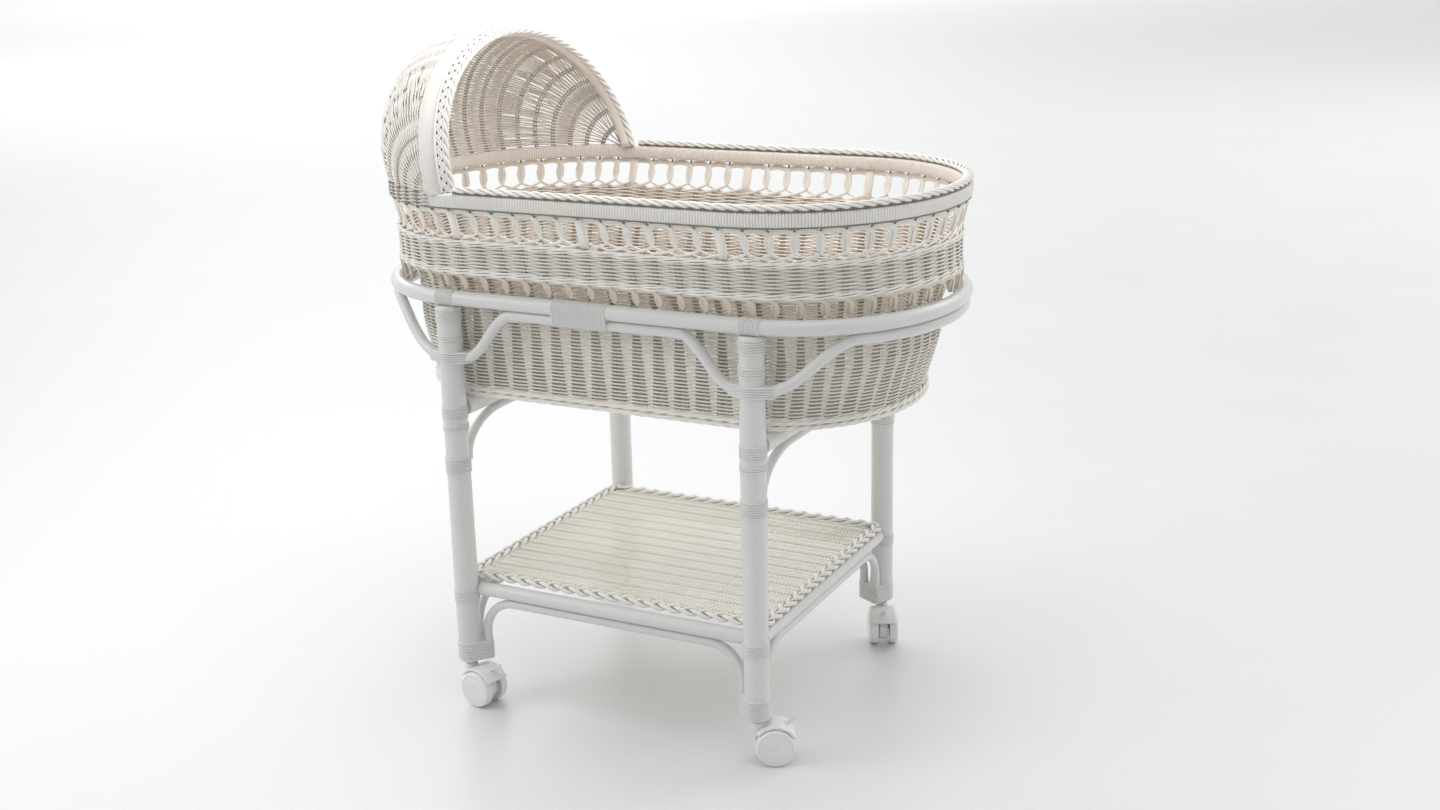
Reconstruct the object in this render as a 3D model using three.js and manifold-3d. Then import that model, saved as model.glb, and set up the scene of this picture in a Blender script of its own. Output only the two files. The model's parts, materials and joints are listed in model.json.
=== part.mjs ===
// A wicker bassinet on a painted cane stand: an oval basket with a fixed half hood, carried by a
// bent hoop on four legs, with a woven shelf below and four twin-wheel casters with brakes.
// Millimetres. +Z is up, the origin is on the floor under the middle of the stand, +X points to
// the foot end of the basket (the hood is at -X), and -Y is the front.
import * as THREE from 'three';
import { mergeVertices } from 'three/addons/utils/BufferGeometryUtils.js';
import Module from 'manifold-3d';

const wasm = await Module();
wasm.setup();

// Clearances shared by all pieces
const seatGap = 0.3; // between pieces that rest on each other
const runGap = 0.6; // round pins and hubs that turn
const overrun = 2; // how far a cutter passes the face it cuts

// Casters: twin wheels that trail behind a stem in each leg
const wheelRadius = 25;
const wheelWidth = 14;
const wheelRecess = 2.5;
const wheelTread = 3; // rounding of the tread's edges
const axleRadius = 3;
const casterTrail = 22;
const webThickness = 12;
const webInset = 6; // from the tread in to the edge of the web between the wheels
const webRadius = wheelRadius - webInset;
const fenderGap = 1.6; // from the tread to the fender's inner face
const fenderRadius = wheelRadius + fenderGap;
const fenderThickness = 3;
const fenderWidth = 38;
const bossRadius = 9;
const bossDrop = 4; // from the leg's lower end to the boss's top
const bossHeight = 9;
const stemRadius = 4.4;
const stemDepth = 30;
const socketRadius = 7.4;
const flangeRadius = 12;
const flangeThickness = 1.6;
const leverHubRadius = 3.4;
const leverHubWidth = 9;
const leverPinRadius = 1.5;
const leverLength = 21;
const leverThickness = 3;
const leverAngle = 36; // degrees above level
const leverPlace = 62; // degrees round the wheel from the trailing side
const fenderStart = 28; // degrees round the wheel from the trailing side
const fenderEnd = 142; // degrees, in the same way
const ribStart = 82; // degrees, in the same way

// Each caster's heading in degrees: the way its wheels trail
const headings = { head_front: -10, foot_front: 27, head_back: 172, foot_back: -63 };

// Stand: four legs, the hoop that carries the basket, and its bent cane braces
const hoopHeight = 565; // centre of the hoop's tube
const hoopRadius = 10;
const hoopLength = 794;
const hoopWidth = 428;
const hoopEndDepth = 182;
const hoopWrapLength = 78;
const hoopWrapShift = 16; // how far the side lashing's middle lies towards the head
const legOvershoot = 2; // from the ends of the hoop's straight sides out to the legs' axes, along X
const legSpanX = hoopLength - 2 * (hoopEndDepth - legOvershoot);
const legInset = 2; // and from its sides in, along Y
const legSpanY = hoopWidth - 2 * legInset;
const legRadius = 16;
const legLift = 5.4; // from the fenders' tops up to the legs' lower ends
const legFootHeight = wheelRadius + fenderRadius + fenderThickness + legLift;
const legChamfer = 1.5;
const wrapThickness = 1.2; // flat cane wound round a pole
const wrapWidth = 18;
const collarWidth = 16;
const footWrapWidth = 28;
const braceRadius = 7;
const braceDrop = 77; // from the hoop's centre to where its braces leave the legs
const braceFootHeight = hoopHeight - braceDrop;
const braceBend = 72; // distance over which a brace rises to the hoop
const endBraceFoot = 1; // cells from the leg to where the end brace starts to rise
const endBraceStart = 2; // and to its first bend
const endBraceRise = 4; // cells over which it rises to the hoop

// Cross rails under the basket, each with an arched brace
const crossRailRadius = 14;
const archRadius = 6;
const crossArchHeight = 75.7; // from the arch's feet to the rail's axis
const crossArchRun = 84;
const crossArchRise = 50;

// Shelf
const shelfHeight = 180; // its top
const shelfOverhang = 4; // past the legs' axes, along X
const shelfLength = legSpanX + 2 * shelfOverhang;
const shelfInset = 18; // from the legs' axes in, along Y
const shelfWidth = legSpanY - 2 * shelfInset;
const shelfThickness = 8;
const shelfStripeCount = 13;
const shelfGrooveShare = 0.2;
const shelfStripeDepth = 0.9;
const shelfBorderWidth = 9;
const shelfBorderRise = 4; // how far the braided border stands above the panel
const shelfRailRadius = 9.5;
const shelfRailInset = 10; // from the legs' axes to the long rails' axes
const shelfArchLift = 6; // from the legs' lower ends to the arches' feet
const shelfArchRun = 46;
const shelfArchRise = 46;

// Basket. Its plan at each height is set off from the hoop's centre line, along the sides and at
// the foot and head ends, so that the basket keeps its fit in the hoop.
const straightEndInset = 209; // from the hoop's ends in to the ends of the basket's straight sides
const baseDrop = 135; // from the hoop's centre down to the basket's underside
const baseHeight = hoopHeight - baseDrop;
const borderHeight = 14;
const borderWidth = 16;
const floorThickness = 6;
const floorRibCount = 9;
const floorGrooveShare = 0.16;
const floorGrooveDepth = 2.2;
const floorRise = 4; // from the border's underside to the floor's underside
const wallThickness = 6;
const wallRibDepth = 2.4; // how far the wall draws in between its stakes
const baseSideInset = 20;
const baseEndInset = 47;
const wallInset = 4; // from the foot border's outer edge to the wall
const bellyDrop = 55; // from the hoop's centre down to the wall's fullest part
const bellyHeight = hoopHeight - bellyDrop;
const bellySideInset = 21;
const bellyEndInset = 30;
const waistSideInset = 19;
const waistEndInset = 29;
const bandRise = 80; // from the hoop's centre up to the top of the close weave
const bandHeight = hoopHeight + bandRise;
const bandSideOverhang = 9;
const bandFootInset = 9;
const bandHeadInset = 15;
const openworkDepth = 42; // from the close weave up to the rim rail
const railHeight = bandHeight + openworkDepth;
const railDepth = 18;
const railThickness = 14;
const railSideOverhang = 28;
const railFootOverhang = 6;
const railHeadInset = 7;
const openworkThickness = 4;
const openworkInset = 4; // from the rail's outer face to the openwork
const sideCells = 12; // openwork cells along each straight side
const endCells = 22; // and round each end
const postSpacing = 6; // cells from one upright post to the next
const rimBraidWidth = 17;
const rimBraidHeight = 9;
const braidSlack = 2.5; // from the hood's rolled edge to the braid's end
const rimBraidOverhang = 2;

// Skirt: a woven band outside the wall, with a scalloped edge that rests on the hoop
const skirtDepth = 46;
const skirtThickness = 5;
const skirtSideInset = 3.5; // from the hoop's centre line in to the scallops, along the sides
const skirtEndInset = 7; // and at the ends
const skirtFlareShare = 0.72; // how far the skirt's lower edge has spread towards the hoop
const skirtWaleShare = 0.15; // share of the skirt's depth that each twisted row takes
const skirtWale = 1.6; // extra thickness of the twisted rows along both edges
const scallopThickness = 4;

// Hood: an arch that leans back from the rim and a woven shell behind it
const archLean = 15; // degrees from upright
const archInset = 20; // from the rim rail's outer face in to the arch's inner edge
const archHalfWidth = hoopWidth / 2 + railSideOverhang - archInset;
const archSlant = 182; // inner edge, measured along the lean
const edgeRadius = 6.5; // rolled front edge
const archBandWidth = 13;
const archBandThickness = 5;
const netFrontOut = 11; // the openwork strip's height over the inner edge, front and back
const netBackOut = 23;
const netWidth = 17;
const netThickness = 4;
const netCells = 20;
const hoodThickness = 5;
const hoodBulgeShare = 0.15;
const hoodSideBulgeShare = 0.02;
const hoodRounds = 20;
const archOverrunShare = 0.025; // share of the arch's half turn run past each foot, then trimmed
const hoodRows = 5;

// How finely round forms are cut
const legSides = 8;
const tubeSides = 8;
const rodSides = 6;
const bendSteps = 5;
const wheelSides = 14;
const smallSides = 8;
const arcSteps = 5;

// Sizes worked out from the ones above
const straightHalf = hoopLength / 2 - straightEndInset;
const baseHalfWidth = hoopWidth / 2 - baseSideInset;
const baseReach = hoopLength / 2 - baseEndInset;
const bellyHalfWidth = hoopWidth / 2 - bellySideInset;
const bellyReach = hoopLength / 2 - bellyEndInset;
const waistHalfWidth = hoopWidth / 2 - waistSideInset;
const waistReach = hoopLength / 2 - waistEndInset;
const bandHalfWidth = hoopWidth / 2 + bandSideOverhang;
const bandFootReach = hoopLength / 2 - bandFootInset;
const bandHeadReach = hoopLength / 2 - bandHeadInset;
const railHalfWidth = hoopWidth / 2 + railSideOverhang;
const railFootReach = hoopLength / 2 + railFootOverhang;
const railHeadReach = hoopLength / 2 - railHeadInset;
const stations = 2 * (sideCells + endCells);
const legX = legSpanX / 2;
const legY = legSpanY / 2;
const crossRailHeight = baseHeight - seatGap - crossRailRadius;
const crossArchFootHeight = crossRailHeight - crossArchHeight;
const shelfArchFootHeight = legFootHeight + shelfArchLift;
const railTop = railHeight + railDepth;
const hoodBase = railTop + seatGap;
const rimBraidStart = edgeRadius / Math.cos(THREE.MathUtils.degToRad(archLean)) + 2 * seatGap + braidSlack;
const flatOf = (radius, sides) => radius * Math.cos(Math.PI / sides); // a faceted rod's flats
const legTop = hoopHeight - flatOf(hoopRadius, tubeSides) - seatGap;
const shelfRailHeight = shelfHeight - shelfThickness - seatGap - shelfRailRadius;

const { sin, cos, PI, hypot, max, min } = Math;
const radians = THREE.MathUtils.degToRad;
const vector = (x, y, z) => new THREE.Vector3(x, y, z);
const paint = { color: 0xf1efe8, roughness: 0.35, metalness: 0, flatShading: true };
const weave = { color: 0xe6dfd0, roughness: 0.6, metalness: 0, flatShading: true };
const plastic = { color: 0xf4f4f2, roughness: 0.3, metalness: 0, flatShading: true };
const steel = { color: 0xb9bcc0, roughness: 0.3, metalness: 0.9, flatShading: true };

const bassinet = new THREE.Group();
bassinet.name = 'bassinet';

// Turns a geometry into one clean closed body: shared corners, no slivers, faces out
function body(geometry) {
  const bare = new THREE.BufferGeometry();
  bare.setAttribute('position', geometry.getAttribute('position').clone());
  if (geometry.index) bare.setIndex(geometry.index.clone());
  const merged = mergeVertices(bare, 1e-4);
  const index = merged.index.array;
  const kept = [];
  for (let i = 0; i < index.length; i += 3) {
    const [a, b, c] = index.slice(i, i + 3);
    if (a !== b && b !== c && c !== a) kept.push(a, b, c);
  }
  const at = (i) => new THREE.Vector3().fromBufferAttribute(merged.getAttribute('position'), i);
  let volume = 0;
  for (let i = 0; i < kept.length; i += 3) {
    volume += at(kept[i]).dot(at(kept[i + 1]).cross(at(kept[i + 2])));
  }
  merged.setIndex(volume < 0 ? kept.reverse() : kept);
  merged.computeVertexNormals();
  return merged;
}

function place(name, geometry, look, parent = bassinet) {
  const mesh = new THREE.Mesh(body(geometry), new THREE.MeshStandardMaterial(look));
  mesh.name = name;
  parent.add(mesh);
  return mesh;
}

function toManifold(geometry) {
  const shape = body(geometry);
  return new wasm.Manifold(new wasm.Mesh({
    numProp: 3,
    vertProperties: new Float32Array(shape.getAttribute('position').array),
    triVerts: new Uint32Array(shape.index.array),
  }));
}

function toGeometry(solid) {
  const mesh = solid.getMesh();
  const geometry = new THREE.BufferGeometry();
  geometry.setAttribute('position', new THREE.BufferAttribute(mesh.vertProperties, 3));
  geometry.setIndex(Array.from(mesh.triVerts));
  return geometry;
}

// From 0 to 1 with a level start and end
const ease = (share) => share * share * (3 - 2 * share);

const cut = (from, ...tools) => toGeometry(tools.reduce(
  (solid, tool) => solid.subtract(toManifold(tool)), toManifold(from)));
const overlapOf = (first, other) => toGeometry(toManifold(first).intersect(toManifold(other)));
const join = (first, ...others) => toGeometry(others.reduce(
  (solid, other) => solid.add(toManifold(other)), toManifold(first)));

// A solid from a list of triangles
function fromTriangles(triangles) {
  const geometry = new THREE.BufferGeometry();
  const flat = triangles.flat().flatMap((p) => [p.x, p.y, p.z]);
  geometry.setAttribute('position', new THREE.Float32BufferAttribute(flat, 3));
  return geometry;
}

// Joins cross sections one after another, either round in a ring or with a cap on each end
function loft(sections, ring) {
  const triangles = [];
  const sides = sections[0].length;
  const spans = ring ? sections.length : sections.length - 1;
  for (let i = 0; i < spans; i += 1) {
    const here = sections[i];
    const next = sections[(i + 1) % sections.length];
    for (let j = 0; j < sides; j += 1) {
      const k = (j + 1) % sides;
      triangles.push([here[j], next[j], next[k]], [here[j], next[k], here[k]]);
    }
  }
  if (!ring) {
    const last = sections[sections.length - 1];
    for (let j = 1; j < sides - 1; j += 1) {
      triangles.push([sections[0][0], sections[0][j], sections[0][j + 1]]);
      triangles.push([last[0], last[j + 1], last[j]]);
    }
  }
  return fromTriangles(triangles);
}

// A wall of two faces over a flat pattern of outlines with holes. spread(x, y, face) bends it.
function panel(cells, spread, ring) {
  const triangles = [];
  const wall = (loop, isOpen) => loop.forEach((a, i) => {
    const b = loop[(i + 1) % loop.length];
    if (!isOpen(a, b)) return;
    const [nearA, nearB, farB, farA] = [
      spread(a.x, a.y, 0), spread(b.x, b.y, 0), spread(b.x, b.y, 1), spread(a.x, a.y, 1)];
    triangles.push([nearA, farB, nearB], [nearA, farA, farB]);
  });
  const left = cells[0].outline[0].x;
  const right = max(...cells[cells.length - 1].outline.map((p) => p.x));
  for (const { outline, holes } of cells) {
    const [west, east] = [min(...outline.map((p) => p.x)), max(...outline.map((p) => p.x))];
    const points = outline.concat(...holes);
    for (const face of THREE.ShapeUtils.triangulateShape(outline, holes)) {
      const [a, b, c] = face.map((i) => points[i]);
      const isLeft = (b.x - a.x) * (c.y - a.y) - (b.y - a.y) * (c.x - a.x) > 0;
      const ordered = isLeft ? [a, b, c] : [a, c, b];
      triangles.push(ordered.map((p) => spread(p.x, p.y, 0)));
      triangles.push(ordered.reverse().map((p) => spread(p.x, p.y, 1)));
    }
    const shared = (x) => (x === west && (ring || x !== left))
      || (x === east && (ring || x !== right));
    wall(outline, (a, b) => a.x !== b.x || !shared(a.x));
    holes.forEach((hole) => wall(hole, () => true));
  }
  return fromTriangles(triangles);
}

// A round rod through a path of points. flat is the normal of the plane that the path bends in.
function rod(points, radius, sides, flat) {
  const sections = points.map((point, i) => {
    const along = points[min(i + 1, points.length - 1)].clone().sub(points[max(i - 1, 0)]).normalize();
    const across = flat ? flat.clone() : vector(along.y, -along.x, 0).normalize();
    const up = across.clone().cross(along);
    return circle(radius, sides, PI / sides).map(({ x, y }) => point.clone()
      .addScaledVector(across, x).addScaledVector(up, y));
  });
  return loft(sections, false);
}

function circle(radius, sides, start = 0) {
  return Array.from({ length: sides }, (_, i) => new THREE.Vector2(
    radius * cos(start + (2 * PI * i) / sides), radius * sin(start + (2 * PI * i) / sides)));
}

// The corner radius of a faceted hole whose flats clear a radius
const holeFor = (radius, sides) => radius / cos(PI / sides);

// A turned form about Z from [radius, height] pairs
function turned(pairs, sides) {
  const profile = pairs.map(([radius, height]) => new THREE.Vector2(radius, height));
  return new THREE.LatheGeometry(profile, sides).rotateX(PI / 2);
}

// A flat outline in X and Z made thick along Y, centred on Y = 0
function slab(outline, thickness) {
  const shape = outline instanceof THREE.Shape ? outline : new THREE.Shape(outline);
  const geometry = new THREE.ExtrudeGeometry(shape, {
    depth: thickness, bevelEnabled: false, curveSegments: arcSteps,
  });
  return geometry.translate(0, 0, -thickness / 2).rotateX(PI / 2);
}

// Plans: an oval with straight sides and a half ellipse at each end
const plan = (halfWidth, foot, head, height, straight = straightHalf) => (
  { halfWidth, foot, head, height, straight });
const inset = (p, by) => ({ ...p, halfWidth: p.halfWidth - by, foot: p.foot - by, head: p.head - by });
const lift = (p, by) => ({ ...p, height: p.height + by });
const blend = (a, b, share) => Object.fromEntries(
  Object.keys(a).map((key) => [key, a[key] + (b[key] - a[key]) * share]));

// The point of a plan at a station. Stations count the openwork's cells, from the head end of the
// front side, along the front, round the foot end, back along the far side and round the head end.
function onPlan(p, station) {
  const s = ((station % stations) + stations) % stations;
  const alongSide = (t) => p.straight * ((2 * t) / sideCells - 1);
  if (s <= sideCells) return vector(alongSide(s), -p.halfWidth, p.height);
  if (s < sideCells + endCells) {
    const angle = PI * ((s - sideCells) / endCells - 1 / 2);
    return vector(p.straight + (p.foot - p.straight) * cos(angle), p.halfWidth * sin(angle), p.height);
  }
  if (s <= 2 * sideCells + endCells) {
    return vector(-alongSide(s - sideCells - endCells), p.halfWidth, p.height);
  }
  const angle = PI * ((s - 2 * sideCells - endCells) / endCells + 1 / 2);
  return vector(-p.straight + (p.head - p.straight) * cos(angle), p.halfWidth * sin(angle), p.height);
}

function outward(p, station) {
  const small = 1 / stations;
  const along = onPlan(p, station + small).sub(onPlan(p, station - small));
  return vector(along.y, -along.x, 0).normalize();
}

// A point beside a plan: out along its normal and up
const beside = (p, station, out, up = 0) => onPlan(p, station)
  .addScaledVector(outward(p, station), out).add(vector(0, 0, up));

const allStations = Array.from({ length: stations }, (_, i) => i);
const everyOther = allStations.filter((s) => s % 2 === 0);

// A ring whose cross section is a list of [out, up] pairs beside a plan
const ringBeside = (p, section) => loft(
  everyOther.map((s) => section.map(([out, up]) => beside(p, s, out, up))), true);

// A ring whose cross section is a list of plans
const ringThrough = (plans) => loft(everyOther.map((s) => plans.map((p) => onPlan(p, s))), true);

// Legs: poles with a bore for the caster's socket and with cane wraps
function makeLeg() {
  const bore = holeFor(socketRadius + seatGap, legSides);
  const rows = [[0, legFootHeight + stemDepth + overrun], [bore, legFootHeight + stemDepth + overrun],
    [bore, legFootHeight], [legRadius - legChamfer, legFootHeight]];
  const bands = [
    [legFootHeight + legChamfer + footWrapWidth / 2, footWrapWidth],
    [shelfRailHeight, wrapWidth],
    [crossArchFootHeight, wrapWidth],
    [crossRailHeight, wrapWidth],
    [braceFootHeight, collarWidth],
    [legTop - legChamfer - wrapWidth / 2, wrapWidth],
  ];
  for (const [middle, width] of bands) {
    const [low, high] = [middle - width / 2, middle + width / 2];
    rows.push([legRadius, low], [legRadius + wrapThickness, low + wrapThickness],
      [legRadius + wrapThickness, high - wrapThickness], [legRadius, high]);
  }
  rows.push([legRadius - legChamfer, legTop], [0, legTop]);
  return turned(rows, legSides);
}

const legPlaces = {
  head_front: [-legX, -legY],
  foot_front: [legX, -legY],
  head_back: [-legX, legY],
  foot_back: [legX, legY],
};
for (const [leg, [x, y]] of Object.entries(legPlaces)) {
  place(`leg_${leg}`, makeLeg(), paint).position.set(x, y, 0);
}

// Hoop: a tube bent to the basket's oval, with cane lashings over the legs and midway
const hoopPlan = plan(
  hoopWidth / 2, hoopLength / 2, hoopLength / 2, hoopHeight, hoopLength / 2 - hoopEndDepth);
function makeHoop() {
  const sections = [];
  // A lashing stands out on the upper half only, because the braces and legs seat underneath
  const section = (station, lashing = 0) => sections.push(
    circle(1, tubeSides, PI / tubeSides).map(({ x, y }) => {
      const radius = hoopRadius + (y > 0 ? lashing : 0);
      return beside(hoopPlan, station, x * radius, y * radius);
    }));
  const stationAlong = (x) => (sideCells / 2) * (1 + x / hoopPlan.straight);
  const lash = (from, to, first) => {
    section(first + from);
    section(first + from, wrapThickness);
    section(first + to, wrapThickness);
    section(first + to);
  };
  const half = stationAlong(legRadius) - stationAlong(0);
  const middle = [-1 / 2, 1 / 2].map((end) => stationAlong(hoopWrapLength * end - hoopWrapShift));
  for (const [first, turnedRound] of [[0, false], [sideCells + endCells, true]]) {
    const [from, to] = turnedRound ? middle.map((s) => sideCells - s).reverse() : middle;
    lash(0, half, first);
    lash(from, to, first);
    lash(sideCells - half, sideCells, first);
    for (let cell = 2; cell < endCells; cell += 2) section(first + sideCells + cell);
  }
  return loft(sections, true);
}
place('hoop', makeHoop(), paint);

// Braces of the hoop: bent rods that rise from the leg collars and run on under the hoop
const underHoop = -flatOf(hoopRadius, tubeSides) - seatGap - braceRadius;
const braceStart = legRadius + wrapThickness + seatGap + braceRadius;
const underHoopHeight = hoopHeight + underHoop;
const braceHeight = (share) => braceFootHeight + (underHoopHeight - braceFootHeight) * ease(share);
function makeSideBrace(side) {
  const start = legX - braceStart;
  const half = [];
  for (let i = 0; i <= bendSteps; i += 1) {
    const share = i / bendSteps;
    half.push(vector(start - braceBend * share, side * legY, braceHeight(share)));
  }
  const mirrored = half.map((p) => vector(-p.x, p.y, p.z)).reverse();
  return rod([...half, ...mirrored], braceRadius, rodSides, vector(0, 1, 0));
}
function makeEndBrace(side) {
  const first = side > 0 ? sideCells : 2 * sideCells + endCells;
  const points = [vector(side * (legX + braceStart), -side * legY, braceFootHeight)];
  for (let i = endBraceStart; i <= endCells - endBraceStart; i += 1) {
    const climb = min(1, (min(i, endCells - i) - endBraceFoot) / endBraceRise);
    const { x, y } = onPlan(hoopPlan, first + i);
    points.push(vector(x, y, braceHeight(climb)));
  }
  points.push(vector(side * (legX + braceStart), side * legY, braceFootHeight));
  return rod(points, braceRadius, rodSides);
}
place('side_brace_front', makeSideBrace(-1), paint);
place('side_brace_back', makeSideBrace(1), paint);
place('end_brace_foot', makeEndBrace(1), paint);
place('end_brace_head', makeEndBrace(-1), paint);

// A straight rail, turned about Z
function makeRail(radius, length) {
  const half = length / 2;
  const rows = [[0, -half], [radius, -half], [radius, half], [0, half]];
  return turned(rows, tubeSides);
}

// A thin rod that stands beside two legs and arches over to run under a rail
function makeArch(halfSpan, foot, high, run, rise) {
  const quarter = [vector(-halfSpan, 0, foot)];
  for (let i = 0; i <= bendSteps; i += 1) {
    const turn = (PI * i) / (2 * bendSteps);
    quarter.push(vector(run * (1 - cos(turn)) - halfSpan, 0, high - rise * (1 - sin(turn))));
  }
  const mirrored = quarter.map((p) => vector(-p.x, p.y, p.z)).reverse();
  return rod([...quarter, ...mirrored], archRadius, rodSides, vector(0, 1, 0));
}

const between = (span) => span - 2 * (legRadius + wrapThickness + seatGap);
const archHalf = (span) => between(span) / 2 - archRadius;
const underRail = (height, radius) => height - radius - seatGap - archRadius;
const crossArch = [underRail(crossRailHeight, crossRailRadius), crossArchRun, crossArchRise];
const shelfArch = [underRail(shelfRailHeight, shelfRailRadius), shelfArchRun, shelfArchRise];
for (const [end, x] of [['head', -legX], ['foot', legX]]) {
  const rail = makeRail(crossRailRadius, between(legSpanY)).rotateX(PI / 2);
  place(`cross_rail_${end}`, rail, paint).position.set(x, 0, crossRailHeight);
  const arch = makeArch(archHalf(legSpanY), crossArchFootHeight, ...crossArch);
  place(`cross_rail_brace_${end}`, arch.rotateZ(PI / 2), paint).position.setX(x);
  const shelfRail = makeRail(shelfRailRadius, between(legSpanY)).rotateX(PI / 2);
  place(`shelf_rail_${end}`, shelfRail, paint).position.set(x, 0, shelfRailHeight);
  const low = makeArch(archHalf(legSpanY), shelfArchFootHeight, ...shelfArch);
  place(`shelf_rail_brace_${end}`, low.rotateZ(PI / 2), paint).position.setX(x);
}
for (const [side, y] of [['front', shelfRailInset - legY], ['back', legY - shelfRailInset]]) {
  const rail = makeRail(shelfRailRadius, between(legSpanX)).rotateY(PI / 2);
  place(`shelf_rail_${side}`, rail, paint).position.set(0, y, shelfRailHeight);
  const low = makeArch(archHalf(legSpanX), shelfArchFootHeight, ...shelfArch);
  place(`shelf_rail_brace_${side}`, low, paint).position.setY(y);
}

// A slab under Z = 0 with ribs along X on its top
function ribbedSlab(length, width, thickness, ribCount, grooveShare, grooveDepth) {
  const outline = [-width / 2, width / 2].map((y) => new THREE.Vector2(y, -thickness));
  const pitch = width / ribCount;
  for (let i = ribCount - 1; i >= 0; i -= 1) {
    const low = i * pitch - width / 2;
    for (const [share, down] of [[1, 1], [1 - grooveShare, 0], [grooveShare, 0]]) {
      outline.push(new THREE.Vector2(low + share * pitch, -down * grooveDepth));
    }
  }
  outline.push(new THREE.Vector2(-width / 2, -grooveDepth));
  const geometry = new THREE.ExtrudeGeometry(
    new THREE.Shape(outline), { depth: length, bevelEnabled: false });
  return geometry.translate(0, 0, -length / 2).rotateX(PI / 2).rotateZ(PI / 2);
}

// Shelf: a woven panel with shallow stripes along X, bound by a braided border
function makeShelfPanel() {
  const edge = 2 * (shelfBorderWidth + seatGap);
  return ribbedSlab(shelfLength - edge, shelfWidth - edge, shelfThickness,
    shelfStripeCount, shelfGrooveShare, shelfStripeDepth);
}
place('shelf_panel', makeShelfPanel(), weave).position.setZ(shelfHeight);

// Shares of the border's width inwards and of its height, round its section
const shelfBorderShares = [[0, 0.25], [0, 0.75], [0.25, 1], [0.75, 1], [1, 0.75], [1, 0], [0.25, 0]];
function makeShelfBorder() {
  const [low, high] = [shelfHeight - shelfThickness, shelfHeight + shelfBorderRise];
  const section = shelfBorderShares.map(([inShare, upShare]) => (
    [shelfBorderWidth * inShare, low + (high - low) * upShare]));
  const corner = (sx, sy) => section.map(([inwards, up]) => vector(
    sx * (shelfLength / 2 - inwards), sy * (shelfWidth / 2 - inwards), up));
  return loft([corner(-1, -1), corner(1, -1), corner(1, 1), corner(-1, 1)], true);
}
place('shelf_border', makeShelfBorder(), weave);

// Basket wall: plans from the foot border up to the openwork
const borderPlan = plan(baseHalfWidth, baseReach, baseReach, baseHeight);
const wallFoot = lift(inset(borderPlan, wallInset), borderHeight + seatGap);
const wallBelly = plan(bellyHalfWidth, bellyReach, bellyReach, bellyHeight);
const wallWaist = plan(waistHalfWidth, waistReach, waistReach, hoopHeight);
const band = plan(bandHalfWidth, bandFootReach, bandHeadReach, bandHeight);
const wallPlans = [wallFoot, wallBelly, wallWaist, lift(band, -seatGap)];
const wallLining = wallPlans.map((p) => inset(p, wallThickness)).reverse();
// Its stakes stand out as ribs, one on every second cell, and the weave draws in between them
const drawnIn = (p, s) => beside(p, s, s % 2 === 0 ? 0 : -wallRibDepth);
place('basket_wall', loft(allStations.map((s) => [
  ...wallPlans.map((p) => drawnIn(p, s)), ...wallLining.map((p) => onPlan(p, s))]), true), weave);

// Shares of the foot border's width inwards and of its height
const borderShares = [[0, 0.25], [0, 0.75], [0.25, 1], [1, 1], [1, 0], [0.25, 0]];
const borderSection = borderShares.map(([inShare, upShare]) => (
  [-borderWidth * inShare, borderHeight * upShare]));
place('basket_foot_border', ringBeside(borderPlan, borderSection), weave);

function makeFloor() {
  const edge = inset(borderPlan, borderWidth + seatGap);
  const outline = everyOther.map((s) => onPlan(edge, s)).map((p) => new THREE.Vector2(p.x, p.y));
  const oval = new THREE.ExtrudeGeometry(new THREE.Shape(outline), {
    depth: floorThickness + overrun, bevelEnabled: false,
  }).translate(0, 0, -floorThickness);
  return overlapOf(oval, ribbedSlab(2 * (edge.foot + overrun), 2 * edge.halfWidth, floorThickness,
    floorRibCount, floorGrooveShare, floorGrooveDepth));
}
place('basket_floor', makeFloor(), weave).position.setZ(baseHeight + floorRise + floorThickness);

// Rim: a rail round the top, and a braid on it from one foot of the hood round to the other
const railPlan = plan(railHalfWidth, railFootReach, railHeadReach, railHeight);
const railSection = [[0, 0], [0, railDepth], [-railThickness, railDepth], [-railThickness, 0]];
place('rim_rail', ringBeside(railPlan, railSection), weave);

// Shares of the rim braid's width inwards and of its height
const rimBraidShares = [[1, 0.33], [0.75, 0], [0.25, 0], [0, 0.33], [0.25, 1], [0.75, 1]];
function makeRimBraid() {
  const from = (sideCells * rimBraidStart) / (2 * straightHalf);
  const to = 2 * sideCells + endCells - from;
  const places = [from, ...everyOther.filter((s) => s > from && s < to), to];
  const top = lift(railPlan, railDepth + seatGap);
  return loft(places.map((s) => rimBraidShares.map(([inShare, upShare]) => beside(
    top, s, rimBraidOverhang - rimBraidWidth * inShare, rimBraidHeight * upShare))), false);
}
place('rim_braid', makeRimBraid(), weave);

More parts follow.
